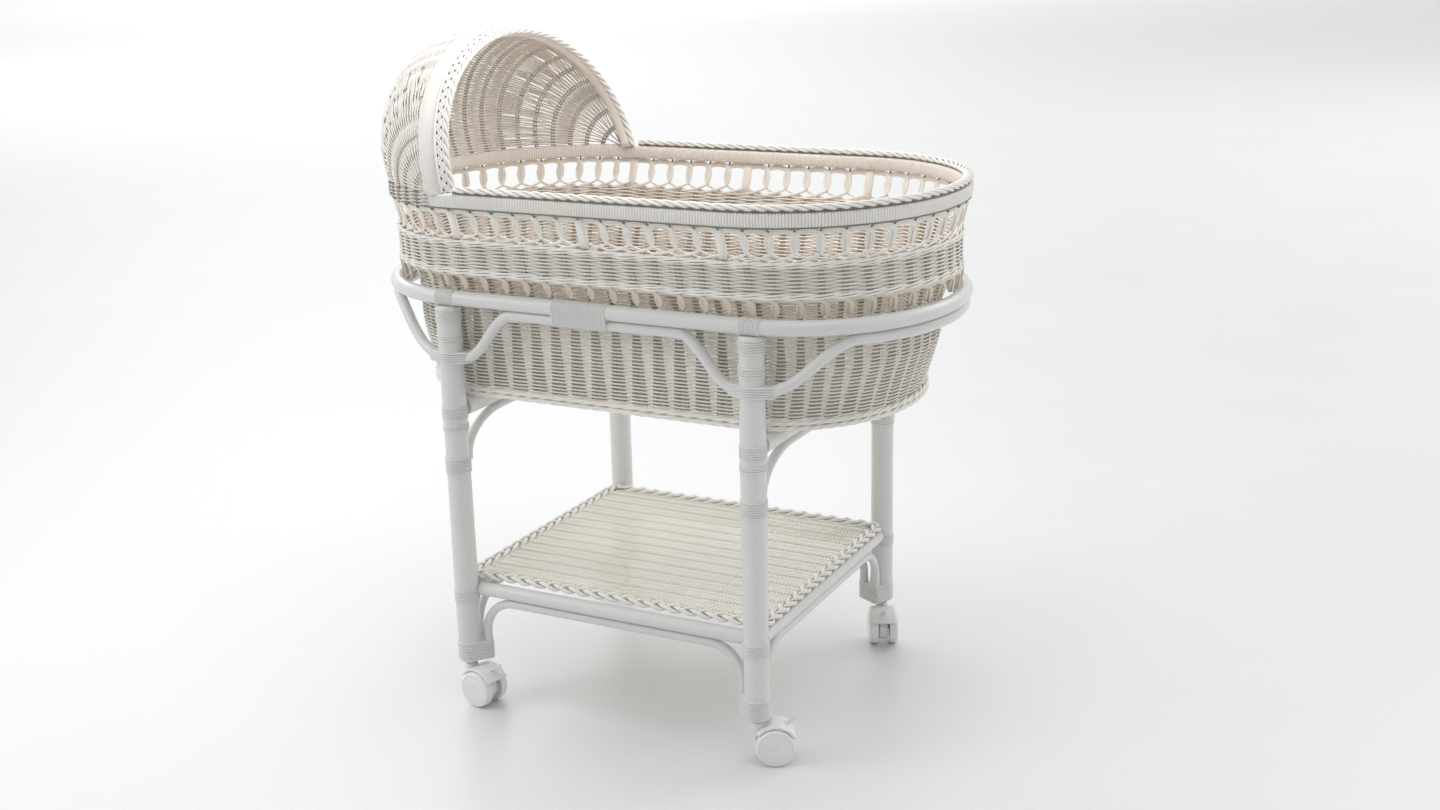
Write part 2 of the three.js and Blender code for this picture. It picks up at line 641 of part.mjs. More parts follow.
// Openwork: pairs of bowed strands round each upright, an arch between pairs under the rail, and
// a crossing below. Shares are of a cell's width and of the openwork's height.
const eyeShares = [[0.5, 0.16], [0.83, 0.3], [0.73, 0.58], [0.84, 0.86], [0.5, 0.96]];
const postHalfShare = 0.16;
function makeOpenwork() {
  const high = lift(inset(railPlan, openworkInset), -seatGap);
  const cells = allStations.map((cell) => {
    const along = cell % (sideCells + endCells) < sideCells;
    const inSide = cell < sideCells ? cell : cell - sideCells - endCells;
    const postLeft = along && inSide % postSpacing === 0;
    const postRight = along && (inSide + 1) % postSpacing === 0;
    const clearOfPosts = (x) => max(postLeft ? postHalfShare : 0, min(postRight ? 1 - postHalfShare : 1, x));
    const opening = [...eyeShares, ...eyeShares.slice(1, -1).reverse().map(([x, y]) => [1 - x, y])];
    return {
      outline: [[0, 0], [1, 0], [1, 1], [0, 1]].map(([x, y]) => new THREE.Vector2(cell + x, y)),
      holes: [opening.map(([x, y]) => new THREE.Vector2(cell + clearOfPosts(x), y)).reverse()],
    };
  });
  return panel(cells, (x, y, face) => beside(blend(band, high, y), x, -face * openworkThickness), true);
}
place('openwork', makeOpenwork(), weave);

// Skirt: hangs from the wall's top and stands on the hoop by its scallops
const skirtTop = inset(lift(band, -seatGap), -seatGap);
const seatReach = hoopLength / 2 - skirtEndInset;
const seatPlan = plan(hoopWidth / 2 - skirtSideInset, seatReach, seatReach,
  hoopHeight + flatOf(hoopRadius + wrapThickness, tubeSides) + seatGap);
const skirtFoot = { ...blend(skirtTop, seatPlan, skirtFlareShare), height: bandHeight - skirtDepth };
const skirtOuter = (share, extra) => inset(blend(skirtTop, skirtFoot, share), -skirtThickness - extra);
place('skirt', ringThrough([skirtOuter(0, skirtWale), skirtOuter(skirtWaleShare, 0),
  skirtOuter(1 - skirtWaleShare, 0), skirtOuter(1, skirtWale), skirtFoot, skirtTop]), weave);

const scallopShares = [[0, 0.42], [0.3, 0.03], [0.7, 0.03], [1, 0.42]];
function makeScallops() {
  const high = inset(lift(skirtFoot, -seatGap), -(skirtThickness + scallopThickness) / 2);
  const cells = allStations.map((cell) => ({
    outline: [...scallopShares, [1, 1], [0, 1]].map(([x, y]) => new THREE.Vector2(cell + x, y)),
    holes: [],
  }));
  return panel(cells, (x, y, face) => beside(blend(seatPlan, high, y), x, -face * scallopThickness), true);
}
place('skirt_scallops', makeScallops(), weave);

// Hood. Its arch stands in a plane that leans towards the head, and back is measured behind it.
const lean = radians(archLean);
function onArch(turn, out, back) {
  const [across, slant] = [archHalfWidth * cos(turn), archSlant * sin(turn)];
  const normal = new THREE.Vector2(cos(turn) / archHalfWidth, sin(turn) / archSlant).normalize();
  const y = -across - out * normal.x;
  const up = slant + out * normal.y;
  const x = -straightHalf - up * sin(lean) - back * cos(lean);
  return vector(x, y, hoodBase + up * cos(lean) - back * sin(lean));
}

// Sweeps a section of [out, back] pairs over the arch and trims it flat on the rim rail
const roundArch = (share) => PI * (share * (1 + 2 * archOverrunShare) - archOverrunShare);
function overArch(section) {
  const sections = [];
  for (let i = 0; i <= hoodRounds; i += 1) {
    sections.push(section.map(([out, back]) => onArch(roundArch(i / hoodRounds), out, back)));
  }
  return trimFoot(loft(sections, false));
}

function trimFoot(geometry) {
  const reach = 2 * railFootReach;
  const ground = new THREE.BoxGeometry(reach, reach, railTop).translate(0, 0, hoodBase - railTop / 2);
  return cut(geometry, ground);
}

const bandStart = edgeRadius + seatGap;
const roll = circle(edgeRadius, tubeSides, PI / tubeSides).map(({ x, y }) => [bandStart + x, y]);
place('hood_edge', overArch(roll), weave);
const bandEnd = bandStart + archBandWidth;
place('hood_arch', overArch([[0, bandStart], [archBandThickness, bandStart],
  [archBandThickness, bandEnd], [0, bandEnd]]), weave);

// Two staggered rows of small diamonds in a sloping strip behind the rolled edge
const diamondShares = [[-0.19, 0], [0, -0.18], [0.19, 0], [0, 0.18]];
const diamondPlaceShares = [[0.27, 0.28], [0.75, 0.72]];
function makeNet() {
  const cells = Array.from({ length: netCells }, (_, cell) => ({
    outline: [[0, 0], [1, 0], [1, 1], [0, 1]].map(([x, y]) => new THREE.Vector2(cell + x, y)),
    holes: diamondPlaceShares.map(([px, py]) => diamondShares.map(
      ([x, y]) => new THREE.Vector2(cell + px + x, py + y)).reverse()),
  }));
  const onStrip = (x, y, face) => onArch(roundArch(x / netCells),
    netFrontOut + (netBackOut - netFrontOut) * y - face * netThickness, bandStart + netWidth * y);
  return trimFoot(panel(cells, onStrip, false));
}
place('hood_openwork', makeNet(), weave);

// The woven shell, from the strip's back edge over the head end and down onto the rim rail
function makeHoodShell() {
  const back = bandStart + netWidth + seatGap;
  const centre = vector(-straightHalf - back * cos(lean), 0, hoodBase - back * sin(lean));
  const top = lift(railPlan, railDepth + seatGap);
  const headStart = 2 * sideCells + endCells;
  // Where the strip's back edge meets the rail, as a turn of the arch and of the head end
  let footTurn = 0;
  while (onArch(footTurn, netBackOut, back).z < hoodBase) footTurn += radians(1) / hoodRounds;
  const rimTurn = Math.asin((back / cos(lean) + hoodThickness) / (railHeadReach - straightHalf));
  const pointAt = (turnShare, rowShare, face) => {
    const turn = footTurn + (PI - 2 * footTurn) * turnShare;
    const endShare = 1 - (rimTurn + (PI - 2 * rimTurn) * turnShare) / PI;
    const rim = onPlan(top, headStart + endCells * endShare);
    const front = onArch(turn, netBackOut, back);
    const rise = max(0, front.z - hoodBase);
    const bulge = sin(PI * rowShare) * sin(turn);
    const rimReach = -straightHalf - rim.x;
    const frontReach = hypot(rise, -straightHalf - front.x);
    const reach = (rimReach + (frontReach - rimReach) * rowShare) * (1 + hoodBulgeShare * bulge);
    const angle = Math.atan2(rise, -straightHalf - front.x) * rowShare;
    const y = (rim.y + (front.y - rim.y) * rowShare) * (1 + hoodSideBulgeShare * bulge);
    const point = vector(-straightHalf - reach * cos(angle), y, hoodBase + reach * sin(angle));
    return centre.clone().lerp(point, 1 - (face * hoodThickness) / point.distanceTo(centre));
  };
  const rows = Array.from({ length: hoodRows + 1 }, (_, i) => i / hoodRows);
  const sections = Array.from({ length: hoodRounds + 1 }, (_, i) => [
    ...rows.map((row) => pointAt(i / hoodRounds, row, 0)),
    ...rows.map((row) => pointAt(i / hoodRounds, row, 1)).reverse(),
  ]);
  return loft(sections, false);
}
place('hood_shell', makeHoodShell(), weave);

// Casters: a socket in each leg, a body that swivels in it, an axle with two wheels and a brake
// lever. Each is made trailing along +X and is then turned to its heading.
const wheelSide = webThickness / 2 + runGap;
const stemTop = legFootHeight + stemDepth - overrun;
const bossTop = legFootHeight - bossDrop;

function makeSocket() {
  const inner = holeFor(stemRadius + runGap, tubeSides);
  const [low, high] = [legFootHeight - seatGap - flangeThickness, legFootHeight - seatGap];
  return turned([[inner, low], [flangeRadius, low], [flangeRadius, high], [socketRadius, high],
    [socketRadius, legFootHeight + stemDepth], [inner, legFootHeight + stemDepth], [inner, low]], tubeSides);
}

const aboutWheel = (radius, degrees) => new THREE.Vector2(
  casterTrail + radius * cos(radians(degrees)), wheelRadius + radius * sin(radians(degrees)));
const arc = (radius, from, to) => Array.from({ length: arcSteps + 1 }, (_, i) => aboutWheel(
  radius, from + ((to - from) * i) / arcSteps));
const crosswise = (radius, length, sides) => new THREE.CylinderGeometry(radius, radius, length, sides);
const upright = (radius, length, sides) => crosswise(radius, length, sides).rotateX(PI / 2);
const leverPivot = aboutWheel(fenderRadius + fenderThickness / 2, leverPlace);

function makeCasterBody() {
  const fenderOuter = fenderRadius + fenderThickness;
  const fender = slab(
    [...arc(fenderOuter, fenderStart, fenderEnd), ...arc(fenderRadius, fenderEnd, fenderStart)], fenderWidth);
  const ribReach = fenderRadius + fenderThickness / 2;
  const rib = slab([aboutWheel(0, 0), ...arc(ribReach, ribStart, fenderEnd)], webThickness);
  const web = crosswise(webRadius, webThickness, wheelSides).translate(casterTrail, 0, wheelRadius);
  const boss = upright(bossRadius, bossHeight, smallSides).translate(0, 0, bossTop - bossHeight / 2);
  const stemBottom = bossTop - bossHeight / 2;
  const stem = upright(stemRadius, stemTop - stemBottom, tubeSides);
  stem.translate(0, 0, (stemTop + stemBottom) / 2);
  const slotWidth = leverHubWidth + 2 * runGap;
  const slot = crosswise(holeFor(leverHubRadius + runGap, smallSides), slotWidth, smallSides);
  slot.translate(leverPivot.x, 0, leverPivot.y);
  const pin = crosswise(leverPinRadius, slotWidth + leverHubWidth, rodSides);
  pin.translate(leverPivot.x, 0, leverPivot.y);
  const bore = crosswise(holeFor(axleRadius + seatGap, tubeSides), webThickness + 2 * overrun, tubeSides);
  bore.translate(casterTrail, 0, wheelRadius);
  return join(cut(join(fender, rib, web, boss, stem), slot, bore), pin);
}

// A wheel about Y, its closed face out and its inner face at y = 0
function makeWheel(side) {
  const bore = holeFor(axleRadius + runGap, wheelSides);
  const cap = wheelWidth - wheelRecess;
  const rows = [[0, wheelWidth], [wheelRadius - wheelTread, wheelWidth],
    [wheelRadius, wheelWidth - wheelTread], [wheelRadius, 0], [bore, 0], [bore, cap], [0, cap]];
  const profile = rows.map(([radius, out]) => new THREE.Vector2(radius, side * (wheelSide + out)));
  return new THREE.LatheGeometry(profile, wheelSides).translate(casterTrail, 0, wheelRadius);
}

function makeAxle() {
  const length = 2 * (wheelSide + wheelWidth - wheelRecess - runGap);
  return crosswise(axleRadius, length, tubeSides).translate(casterTrail, 0, wheelRadius);
}

// The brake lever: a hub on the pin and a flat arm that rises at the trailing end
function makeLever() {
  const shape = new THREE.Shape();
  const tilt = radians(leverAngle);
  const neck = Math.asin(leverThickness / 2 / leverHubRadius);
  shape.absarc(leverPivot.x, leverPivot.y, leverHubRadius, tilt + neck, tilt - neck + 2 * PI, false);
  const along = new THREE.Vector2(cos(tilt), sin(tilt));
  const aside = new THREE.Vector2(-along.y, along.x);
  const half = leverThickness / 2;
  for (const [out, off] of [[leverLength, -half], [leverLength + half, 0], [leverLength, half]]) {
    const point = leverPivot.clone().addScaledVector(along, out).addScaledVector(aside, off);
    shape.lineTo(point.x, point.y);
  }
  const pinHole = holeFor(leverPinRadius + seatGap, 2 * arcSteps);
  shape.holes.push(new THREE.Path().absarc(leverPivot.x, leverPivot.y, pinHole, 0, 2 * PI, true));
  return slab(shape, leverHubWidth);
}

for (const [leg, [x, y]] of Object.entries(legPlaces)) {
  const caster = new THREE.Group();
  caster.position.set(x, y, 0);
  caster.rotation.z = radians(headings[leg]);
  bassinet.add(caster);
  place(`caster_socket_${leg}`, makeSocket(), steel, caster);
  place(`caster_body_${leg}`, makeCasterBody(), plastic, caster);
  place(`caster_axle_${leg}`, makeAxle(), steel, caster);
  place(`caster_wheel_left_${leg}`, makeWheel(1), plastic, caster);
  place(`caster_wheel_right_${leg}`, makeWheel(-1), plastic, caster);
  place(`caster_brake_${leg}`, makeLever(), plastic, caster);
}

export default bassinet;
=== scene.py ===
"""Looks of a wicker bassinet on a painted cane stand: woven walls, openwork, braids, hood and casters."""
import json
import math

import bmesh
import bpy
import numpy as np
from bpy.props import FloatProperty, FloatVectorProperty, IntProperty, PointerProperty
from bpy.types import Operator, Panel, PropertyGroup
from mathutils import Matrix, Vector


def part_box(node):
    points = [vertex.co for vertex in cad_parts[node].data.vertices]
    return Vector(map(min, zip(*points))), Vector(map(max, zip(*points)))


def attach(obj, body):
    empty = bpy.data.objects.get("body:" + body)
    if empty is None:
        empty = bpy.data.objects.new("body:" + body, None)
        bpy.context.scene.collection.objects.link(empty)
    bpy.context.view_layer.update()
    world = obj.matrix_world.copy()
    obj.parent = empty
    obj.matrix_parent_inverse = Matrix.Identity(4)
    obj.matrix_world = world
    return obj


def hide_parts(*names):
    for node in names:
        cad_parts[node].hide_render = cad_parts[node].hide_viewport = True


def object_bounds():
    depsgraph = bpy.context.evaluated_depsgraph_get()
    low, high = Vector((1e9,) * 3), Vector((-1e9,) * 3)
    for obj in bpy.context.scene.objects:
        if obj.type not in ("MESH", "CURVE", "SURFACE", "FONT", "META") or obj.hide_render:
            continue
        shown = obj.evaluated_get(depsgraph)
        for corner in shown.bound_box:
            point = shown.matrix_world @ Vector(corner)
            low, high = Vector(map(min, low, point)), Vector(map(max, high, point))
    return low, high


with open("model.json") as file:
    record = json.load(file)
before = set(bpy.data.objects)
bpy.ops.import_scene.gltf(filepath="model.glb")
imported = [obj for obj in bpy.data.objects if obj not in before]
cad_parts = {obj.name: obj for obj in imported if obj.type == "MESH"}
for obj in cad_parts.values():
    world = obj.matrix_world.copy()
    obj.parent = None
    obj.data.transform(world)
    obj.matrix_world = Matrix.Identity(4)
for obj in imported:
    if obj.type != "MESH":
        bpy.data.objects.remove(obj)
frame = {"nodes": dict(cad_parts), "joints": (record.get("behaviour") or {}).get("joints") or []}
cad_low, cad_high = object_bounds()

bl_info = {
    "name": "Wicker bassinet",
    "version": (1, 0, 0),
    "blender": (4, 5, 0),
    "location": "View3D > Sidebar > Bassinet",
    "description": "Woven basket, hood, stand and casters of a bassinet",
    "category": "Add Mesh",
}

MM = 0.001
CORNERS = ("head_front", "foot_front", "head_back", "foot_back")
RAILS = (("cross", "head"), ("cross", "foot"), ("shelf", "head"), ("shelf", "foot"), ("shelf", "front"),
         ("shelf", "back"))

# Stand: its legs, the hoop with the reach of its rounded ends, the braces under it and the rails
LEG_RADIUS = 16 * MM
LEG_X, LEG_Y = 217 * MM, 212 * MM
WRAP = 1.2 * MM
HOOP_RADIUS = 10 * MM
HOOP_TURN = 182 * MM
HOOP_FLAT = 9.24 * MM
BRACE_RADIUS = 7 * MM
BRACE_FOOT = 488 * MM
CLEAR = 0.3 * MM
CROSS_RAIL, SHELF_RAIL, RAIL_ARCH = 14 * MM, 9.5 * MM, 6 * MM

# Casters: how far a wheel's axle trails and how high it lies
TRAIL, AXLE_HEIGHT = 22 * MM, 25 * MM

# The oval plan: openwork cells along each straight side and round each end
SIDE_CELLS = 12
END_CELLS = 22
CELLS = 2 * (SIDE_CELLS + END_CELLS)
STRAIGHT = 188 * MM
POST_EVERY = 6

# Hood: its arch leans back from the rim
HOOD_BASE = 705.3 * MM
ARCH_LEAN = math.radians(15)
ARCH_HALF_WIDTH = 222 * MM
ARCH_SLANT = 182 * MM
ARCH_BACK = 24.1 * MM
SHELL_OUT = 23 * MM
SHELL_THICKNESS = 5 * MM
RIM_HEAD_REACH = 390 * MM
BULGE_SHARE = 0.15
SIDE_BULGE_SHARE = 0.02
HOOD_CENTRE = (-STRAIGHT, 0.0, HOOD_BASE)

# A weft on its way past a stake: shares of the way to the next one, and of its full swing
PASS_SHARES = (-0.2, 0.0, 0.2)
PASS_SWING_SHARES = (0.86, 1.0, 0.86)
WALL_SWING, HOOD_SWING = 0.92, 0.7
HEAVY_WEFT = 1.02
dice = np.random.default_rng(7)


def length(name, description, default):
    return FloatProperty(name=name, description=description, default=default, unit="LENGTH")


def colour(name, description, default):
    return FloatVectorProperty(name=name, description=description, default=default, subtype="COLOR", size=3)


class StandSettings(PropertyGroup):
    """Sizes of the painted stand."""

    leg_radius: length("Leg radius", "Radius of the four poles", LEG_RADIUS)
    wrap_thickness: length("Wrap thickness", "Thickness of the flat cane wound round the poles", WRAP)
    wrap_width: length("Wrap width", "Width of one turn of flat cane", 3.0 * MM)


class WeaveSettings(PropertyGroup):
    """Sizes of the weave."""

    weft_radius: length("Weft radius", "Radius of the round core woven between the stakes", 1.18 * MM)
    weft_pitch: length("Weft pitch", "Height from one woven row to the next", 2.32 * MM)
    stake_radius: length("Stake radius", "Radius of the upright stakes", 1.6 * MM)
    wall_stakes: IntProperty(
        name="Wall stakes", description="Groups of stakes round the basket's wall", default=72, min=12)
    strand_radius: length("Openwork strand radius", "Radius of the strands of the openwork", 1.4 * MM)


class FinishSettings(PropertyGroup):
    """Colours of the finishes."""

    pole_paint: colour("Pole paint", "Gloss white of the poles", (0.75, 0.755, 0.745))
    wicker_paint: colour("Wicker paint", "White of the weave's outside", (0.96, 0.945, 0.90))
    wicker_inside: colour("Wicker inside", "Ivory of the weave's inside", (0.97, 0.90, 0.825))
    shelf_paint: colour("Shelf paint", "Ivory of the shelf's weave", (0.95, 0.925, 0.845))


# Pieces

def finish_of(name):
    """A finish by its name, apart from the frame's own materials, which are called as the slots are."""
    return bpy.data.materials[name + "_finish"]


def new_piece(name, mesh, body, finish, nodes):
    """A finished piece: its object at the origin, riding on a body and standing for CAD nodes."""
    mesh.name = name
    piece = bpy.data.objects.new(name, mesh)
    bpy.context.scene.collection.objects.link(piece)
    mesh.materials.clear()
    mesh.materials.append(finish_of(finish))
    mesh.shade_smooth()
    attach(piece, body)
    if nodes:
        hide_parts(*nodes)


def stand_piece(name, mesh, *nodes):
    new_piece(name, mesh, "stand", "painted_cane", nodes)


def shelf_piece(name, mesh, finish, *nodes):
    new_piece(name, mesh, "stand", finish, nodes)


def basket_piece(name, mesh, finish, *nodes):
    new_piece(name, mesh, "basket", finish, nodes)


def inner_piece(name, mesh, *nodes):
    new_piece(name, mesh, "basket", "inner_wicker", nodes)


def caster_piece(name, mesh, body, node):
    new_piece(name, mesh, body, "caster_plastic", [node])


# Meshes

def canes(paths, radius, sides=4, closed=False):
    """A mesh of round canes along paths."""
    curve = bpy.data.curves.new("cane", "CURVE")
    curve.dimensions = "3D"
    curve.bevel_depth = radius
    curve.bevel_resolution = (sides - 4) // 2
    curve.use_fill_caps = not closed
    for path in paths:
        spline = curve.splines.new("POLY")
        spline.points.add(len(path) - 1)
        corners = np.ones((len(path), 4))
        corners[:, :3] = path
        spline.points.foreach_set("co", corners.ravel())
        spline.use_cyclic_u = closed
    holder = bpy.data.objects.new("cane", curve)
    mesh = bpy.data.meshes.new_from_object(holder)
    bpy.data.objects.remove(holder)
    bpy.data.curves.remove(curve)
    return mesh


def finished(bm, outwards=True):
    """The mesh of a form made by operators, its faces turned outwards."""
    if outwards:
        bmesh.ops.recalc_face_normals(bm, faces=bm.faces)
    mesh = bpy.data.meshes.new("piece")
    bm.to_mesh(mesh)
    bm.free()
    return mesh


def joined(meshes):
    """Several meshes as one."""
    bm = bmesh.new()
    for mesh in meshes:
        bm.from_mesh(mesh)
        bpy.data.meshes.remove(mesh)
    return finished(bm, False)


def skin(bm, rows):
    """Faces between each two closed rows of as many vertices."""
    for here, there in zip(rows, rows[1:]):
        for i in range(len(here)):
            k = (i + 1) % len(here)
            bm.faces.new((here[i], there[i], there[k], here[k]))


def lathe(profile, steps, matrix):
    """Turns a profile of (radius, height) pairs about Z and moves the form by a matrix."""
    bm = bmesh.new()
    turns = [2 * math.pi * i / steps for i in range(steps)]
    skin(bm, [[bm.verts.new((radius * math.cos(turn), radius * math.sin(turn), height)) for turn in turns]
              for radius, height in profile])
    bmesh.ops.transform(bm, matrix=matrix, verts=bm.verts)
    bmesh.ops.remove_doubles(bm, verts=bm.verts, dist=0.01 * MM)
    return finished(bm)


def loft(sections, closed=False):
    """Joins sections of as many points each, with caps where the form is open."""
    bm = bmesh.new()
    rows = [[bm.verts.new(point) for point in section] for section in sections]
    if closed:
        rows.append(rows[0])
    else:
        bm.faces.new(rows[0])
        bm.faces.new(reversed(rows[-1]))
    skin(bm, rows)
    return finished(bm)


def laid(place, axis):
    """A place with its Z turned a quarter about an axis."""
    return Matrix.Translation(place) @ Matrix.Rotation(math.pi / 2, 4, axis)


def scaled(pairs):
    """Pairs given in millimetres."""
    return [(a * MM, b * MM) for a, b in pairs]


def hull_outline(circles, grow, steps=36):
    """The outline round several circles, each grown by a length."""
    outline = []
    for i in range(steps):
        angle = 2 * math.pi * i / steps
        ux, uy = math.cos(angle), math.sin(angle)
        x, y, radius = max(circles, key=lambda c: c[0] * ux + c[1] * uy + c[2])
        outline.append((x + (radius + grow) * ux, y + (radius + grow) * uy))
    return outline


def binding(circles, span, matrix, stand):
    """Turns of flat cane round one or more rods, along Z of the matrix, centred on its origin."""
    turns = max(1, round(span / stand.wrap_width))
    turn = span / turns
    sections = []
    for k in range(turns):
        low = -span / 2 + k * turn
        for share, grow in ((0.03, -0.5), (0.14, 0.85), (0.5, 1), (0.86, 0.85), (0.97, -0.5)):
            sections.append([matrix @ Vector((x, y, low + share * turn))
                             for x, y in hull_outline(circles, stand.wrap_thickness * grow)])
    return loft(sections)


def smooth_path(points, steps):
    """Points on a smooth curve through the ones given."""
    p = np.array([points[0], *points, points[-1]], float)
    t = np.linspace(0, 1, steps, endpoint=False)[:, None]
    spans = []
    for a, b, c, d in zip(p, p[1:], p[2:], p[3:]):
        spans.append(0.5 * (2 * b + (c - a) * t + (2 * a - 5 * b + 4 * c - d) * t ** 2
                            + (3 * b - a - 3 * c + d) * t ** 3))
    return np.vstack([*spans, p[-1]])


def eased(low, high, share):
    """Heights that leave one level and come to another smoothly."""
    return low + (high - low) * share ** 2 * (3 - 2 * share)


# The oval plan and the surfaces that the weave follows

def rings(node):
    """The rings of a basket node: half width, foot reach, head reach and height, from below."""
    co = np.array([v.co for v in frame["nodes"][node].data.vertices])
    found = []
    for height in sorted(set(np.round(co[:, 2], 4))):
        ring = co[abs(co[:, 2] - height) < 0.1 * MM]
        found.append((abs(ring[:, 1]).max(), ring[:, 0].max(), -ring[:, 0].min(), height))
    return np.array(found)


def box_plan(node):
    """The plan of a node's box, half width, foot reach and head reach, and the box's low and high."""
    low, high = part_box(node)
    return (high.y, high.x, -low.x), low, high


def on_plan(plan, station):
    """Points of an oval at stations, which count cells from the head end of the front side."""
    half, foot, head, height = plan
    s = np.mod(np.asarray(station, float), CELLS)
    far = SIDE_CELLS + END_CELLS
    along = STRAIGHT * (2 * s / SIDE_CELLS - 1)
    back = -STRAIGHT * (2 * (s - far) / SIDE_CELLS - 1)
    foot_turn = np.pi * ((s - SIDE_CELLS) / END_CELLS - 0.5)
    head_turn = np.pi * ((s - SIDE_CELLS - far) / END_CELLS + 0.5)
    where = [s <= SIDE_CELLS, s < far, s <= far + SIDE_CELLS]
    x = np.select(where, [along, STRAIGHT + (foot - STRAIGHT) * np.cos(foot_turn), back],
                  -STRAIGHT + (head - STRAIGHT) * np.cos(head_turn))
    y = np.select(where, [-half + 0 * s, half * np.sin(foot_turn), half + 0 * s], half * np.sin(head_turn))
    return np.stack([x, y, height + 0 * s], axis=-1)


def all_round(count):
    """Stations all the way round the oval."""
    return np.linspace(0, CELLS, count, endpoint=False)


def beside(plan, station, out, up=0.0):
    """Points beside a plan: out along its normal and up."""
    small = 0.02
    along = on_plan(plan, np.add(station, small)) - on_plan(plan, np.subtract(station, small))
    normal = np.stack([along[..., 1], -along[..., 0], 0 * along[..., 0]], axis=-1)
    normal /= np.linalg.norm(normal, axis=-1)[..., None]
    point = on_plan(plan, station) + normal * np.asarray(out)[..., None]
    point[..., 2] += up
    return point


def plan_between(plans, height):
    """The plan at a height, or at each of many heights, between the rings of a node."""
    return tuple(np.interp(height, plans[:, 3], plans[:, k]) for k in range(3)) + (height,)


def on_wall(plans, station, height, out):
    return beside(plan_between(plans, height), station, out)


def on_arch(turn, out, back):
    """A point by the hood's arch: out from it and back behind it."""
    across, slant = ARCH_HALF_WIDTH * np.cos(turn), ARCH_SLANT * np.sin(turn)
    normal = np.stack([np.cos(turn) / ARCH_HALF_WIDTH, np.sin(turn) / ARCH_SLANT], axis=-1)
    normal /= np.linalg.norm(normal, axis=-1)[..., None]
    up = slant + out * normal[..., 1]
    x = -STRAIGHT - up * math.sin(ARCH_LEAN) - back * math.cos(ARCH_LEAN)
    z = HOOD_BASE + up * math.cos(ARCH_LEAN) - back * math.sin(ARCH_LEAN)
    return np.stack([x, -across - out * normal[..., 0], z], axis=-1)


def arch_foot_turn(out, back):
    """The turn of the arch where a line at this place over it meets the rim."""
    turns = np.linspace(0, 0.5, 2001)
    return turns[np.argmax(on_arch(turns, out, back)[:, 2] >= HOOD_BASE)]


def hood_foot_station(turn_share):
    """The station on the rim where a line of the hood that starts from its arch at a turn comes down."""
    rim_turn = math.asin((ARCH_BACK / math.cos(ARCH_LEAN) + SHELL_THICKNESS) / (RIM_HEAD_REACH - STRAIGHT))
    end_share = 1 - (rim_turn + (np.pi - 2 * rim_turn) * turn_share) / np.pi
    return 2 * SIDE_CELLS + END_CELLS + END_CELLS * end_share


def on_hood(turn_share, row_share, out, rim):
    """A point of the hood's shell. turn_share runs round the arch, row_share from the rim up to it."""
    foot = arch_foot_turn(SHELL_OUT, ARCH_BACK)
    turn = foot + (np.pi - 2 * foot) * turn_share
    edge = on_plan(rim, hood_foot_station(turn_share))
    front = on_arch(turn, SHELL_OUT, ARCH_BACK)
    rise = np.maximum(0, front[..., 2] - HOOD_BASE)
    bulge = np.sin(np.pi * row_share) * np.sin(turn)
    rim_reach = -STRAIGHT - edge[..., 0]
    front_reach = np.hypot(rise, -STRAIGHT - front[..., 0])
    reach = (rim_reach + (front_reach - rim_reach) * row_share) * (1 + BULGE_SHARE * bulge)
    angle = np.arctan2(rise, -STRAIGHT - front[..., 0]) * row_share
    y = (edge[..., 1] + (front[..., 1] - edge[..., 1]) * row_share) * (1 + SIDE_BULGE_SHARE * bulge)
    point = np.stack([-STRAIGHT - reach * np.cos(angle), y, HOOD_BASE + reach * np.sin(angle)], axis=-1)
    centre = np.array([-STRAIGHT - ARCH_BACK * math.cos(ARCH_LEAN), 0,
                       HOOD_BASE - ARCH_BACK * math.sin(ARCH_LEAN)])
    away = point - centre
    away /= np.linalg.norm(away, axis=-1)[..., None]
    return point + away * (np.asarray(out) - SHELL_THICKNESS / 2)[..., None]


# Weave

def weft_stations(count, row, swing, reach=1.0):
    """Places along one woven row, in stakes, and how far out it swings at each."""
    stakes = np.arange(count)
    place = (stakes[:, None] + reach * np.array(PASS_SHARES)).ravel()
    side = np.where((stakes + row) % 2, 1.0, -1.0) * dice.uniform(0.9, 1.06, count)
    out = (side[:, None] * np.array(PASS_SWING_SHARES) * swing).ravel()
    return place, out


def twisted(plan, stations, strands, pitch, across, high, out, up=0.0):
    """Strands twisted about a line that runs beside a plan, out along its normal and up."""
    turns = [2 * np.pi * (stations / pitch + k / strands) for k in range(strands)]
    return [beside(plan, stations, across * np.cos(turn) + out, high * np.sin(turn) + up) for turn in turns]


def woven_wall(plans, low, high, count, weave, middle, reach, spread):
    """Wefts and stakes, in sixes, of a wall from one height to another.

    middle is from its outer face. reach is how wide a row passes the stakes and spread how far apart they
    stand, each at the foot and at the top.
    """
    swing = 2 * weave.weft_radius * WALL_SWING
    wefts = []
    rows = int((high - low) / weave.weft_pitch)
    for row in range(rows):
        place, out = weft_stations(count, row, swing, reach[0] + (reach[1] - reach[0]) * row / rows)
        height = low + (row + 0.5 + dice.uniform(-0.1, 0.1)) * (high - low) / rows
        wefts.append(on_wall(plans, place * CELLS / count, height, out - middle))
    # Each stake is six dark canes side by side: the stake, and a dark band of painted shade that shows between
    # the rows passing in front of it
    heights = np.linspace(low, high, 14)
    girth, closest = 2 * np.pi * 0.3, 2.2 * MM
    apart = np.maximum(np.linspace(*spread, len(heights)), closest) / girth * CELLS
    stakes = [on_wall(plans, stake * CELLS / count + side * apart, heights, -middle + 0 * heights)
              for stake in range(count) for side in np.linspace(-1, 1, 6)]
    return wefts, stakes


# The strands of one ring, the outer one first: half width of the leaf, height of the arch, how far inside
LOOP_SHARES = ((0.158, 0.955, -1), (0.092, 0.905, 0), (0.028, 0.855, 1))


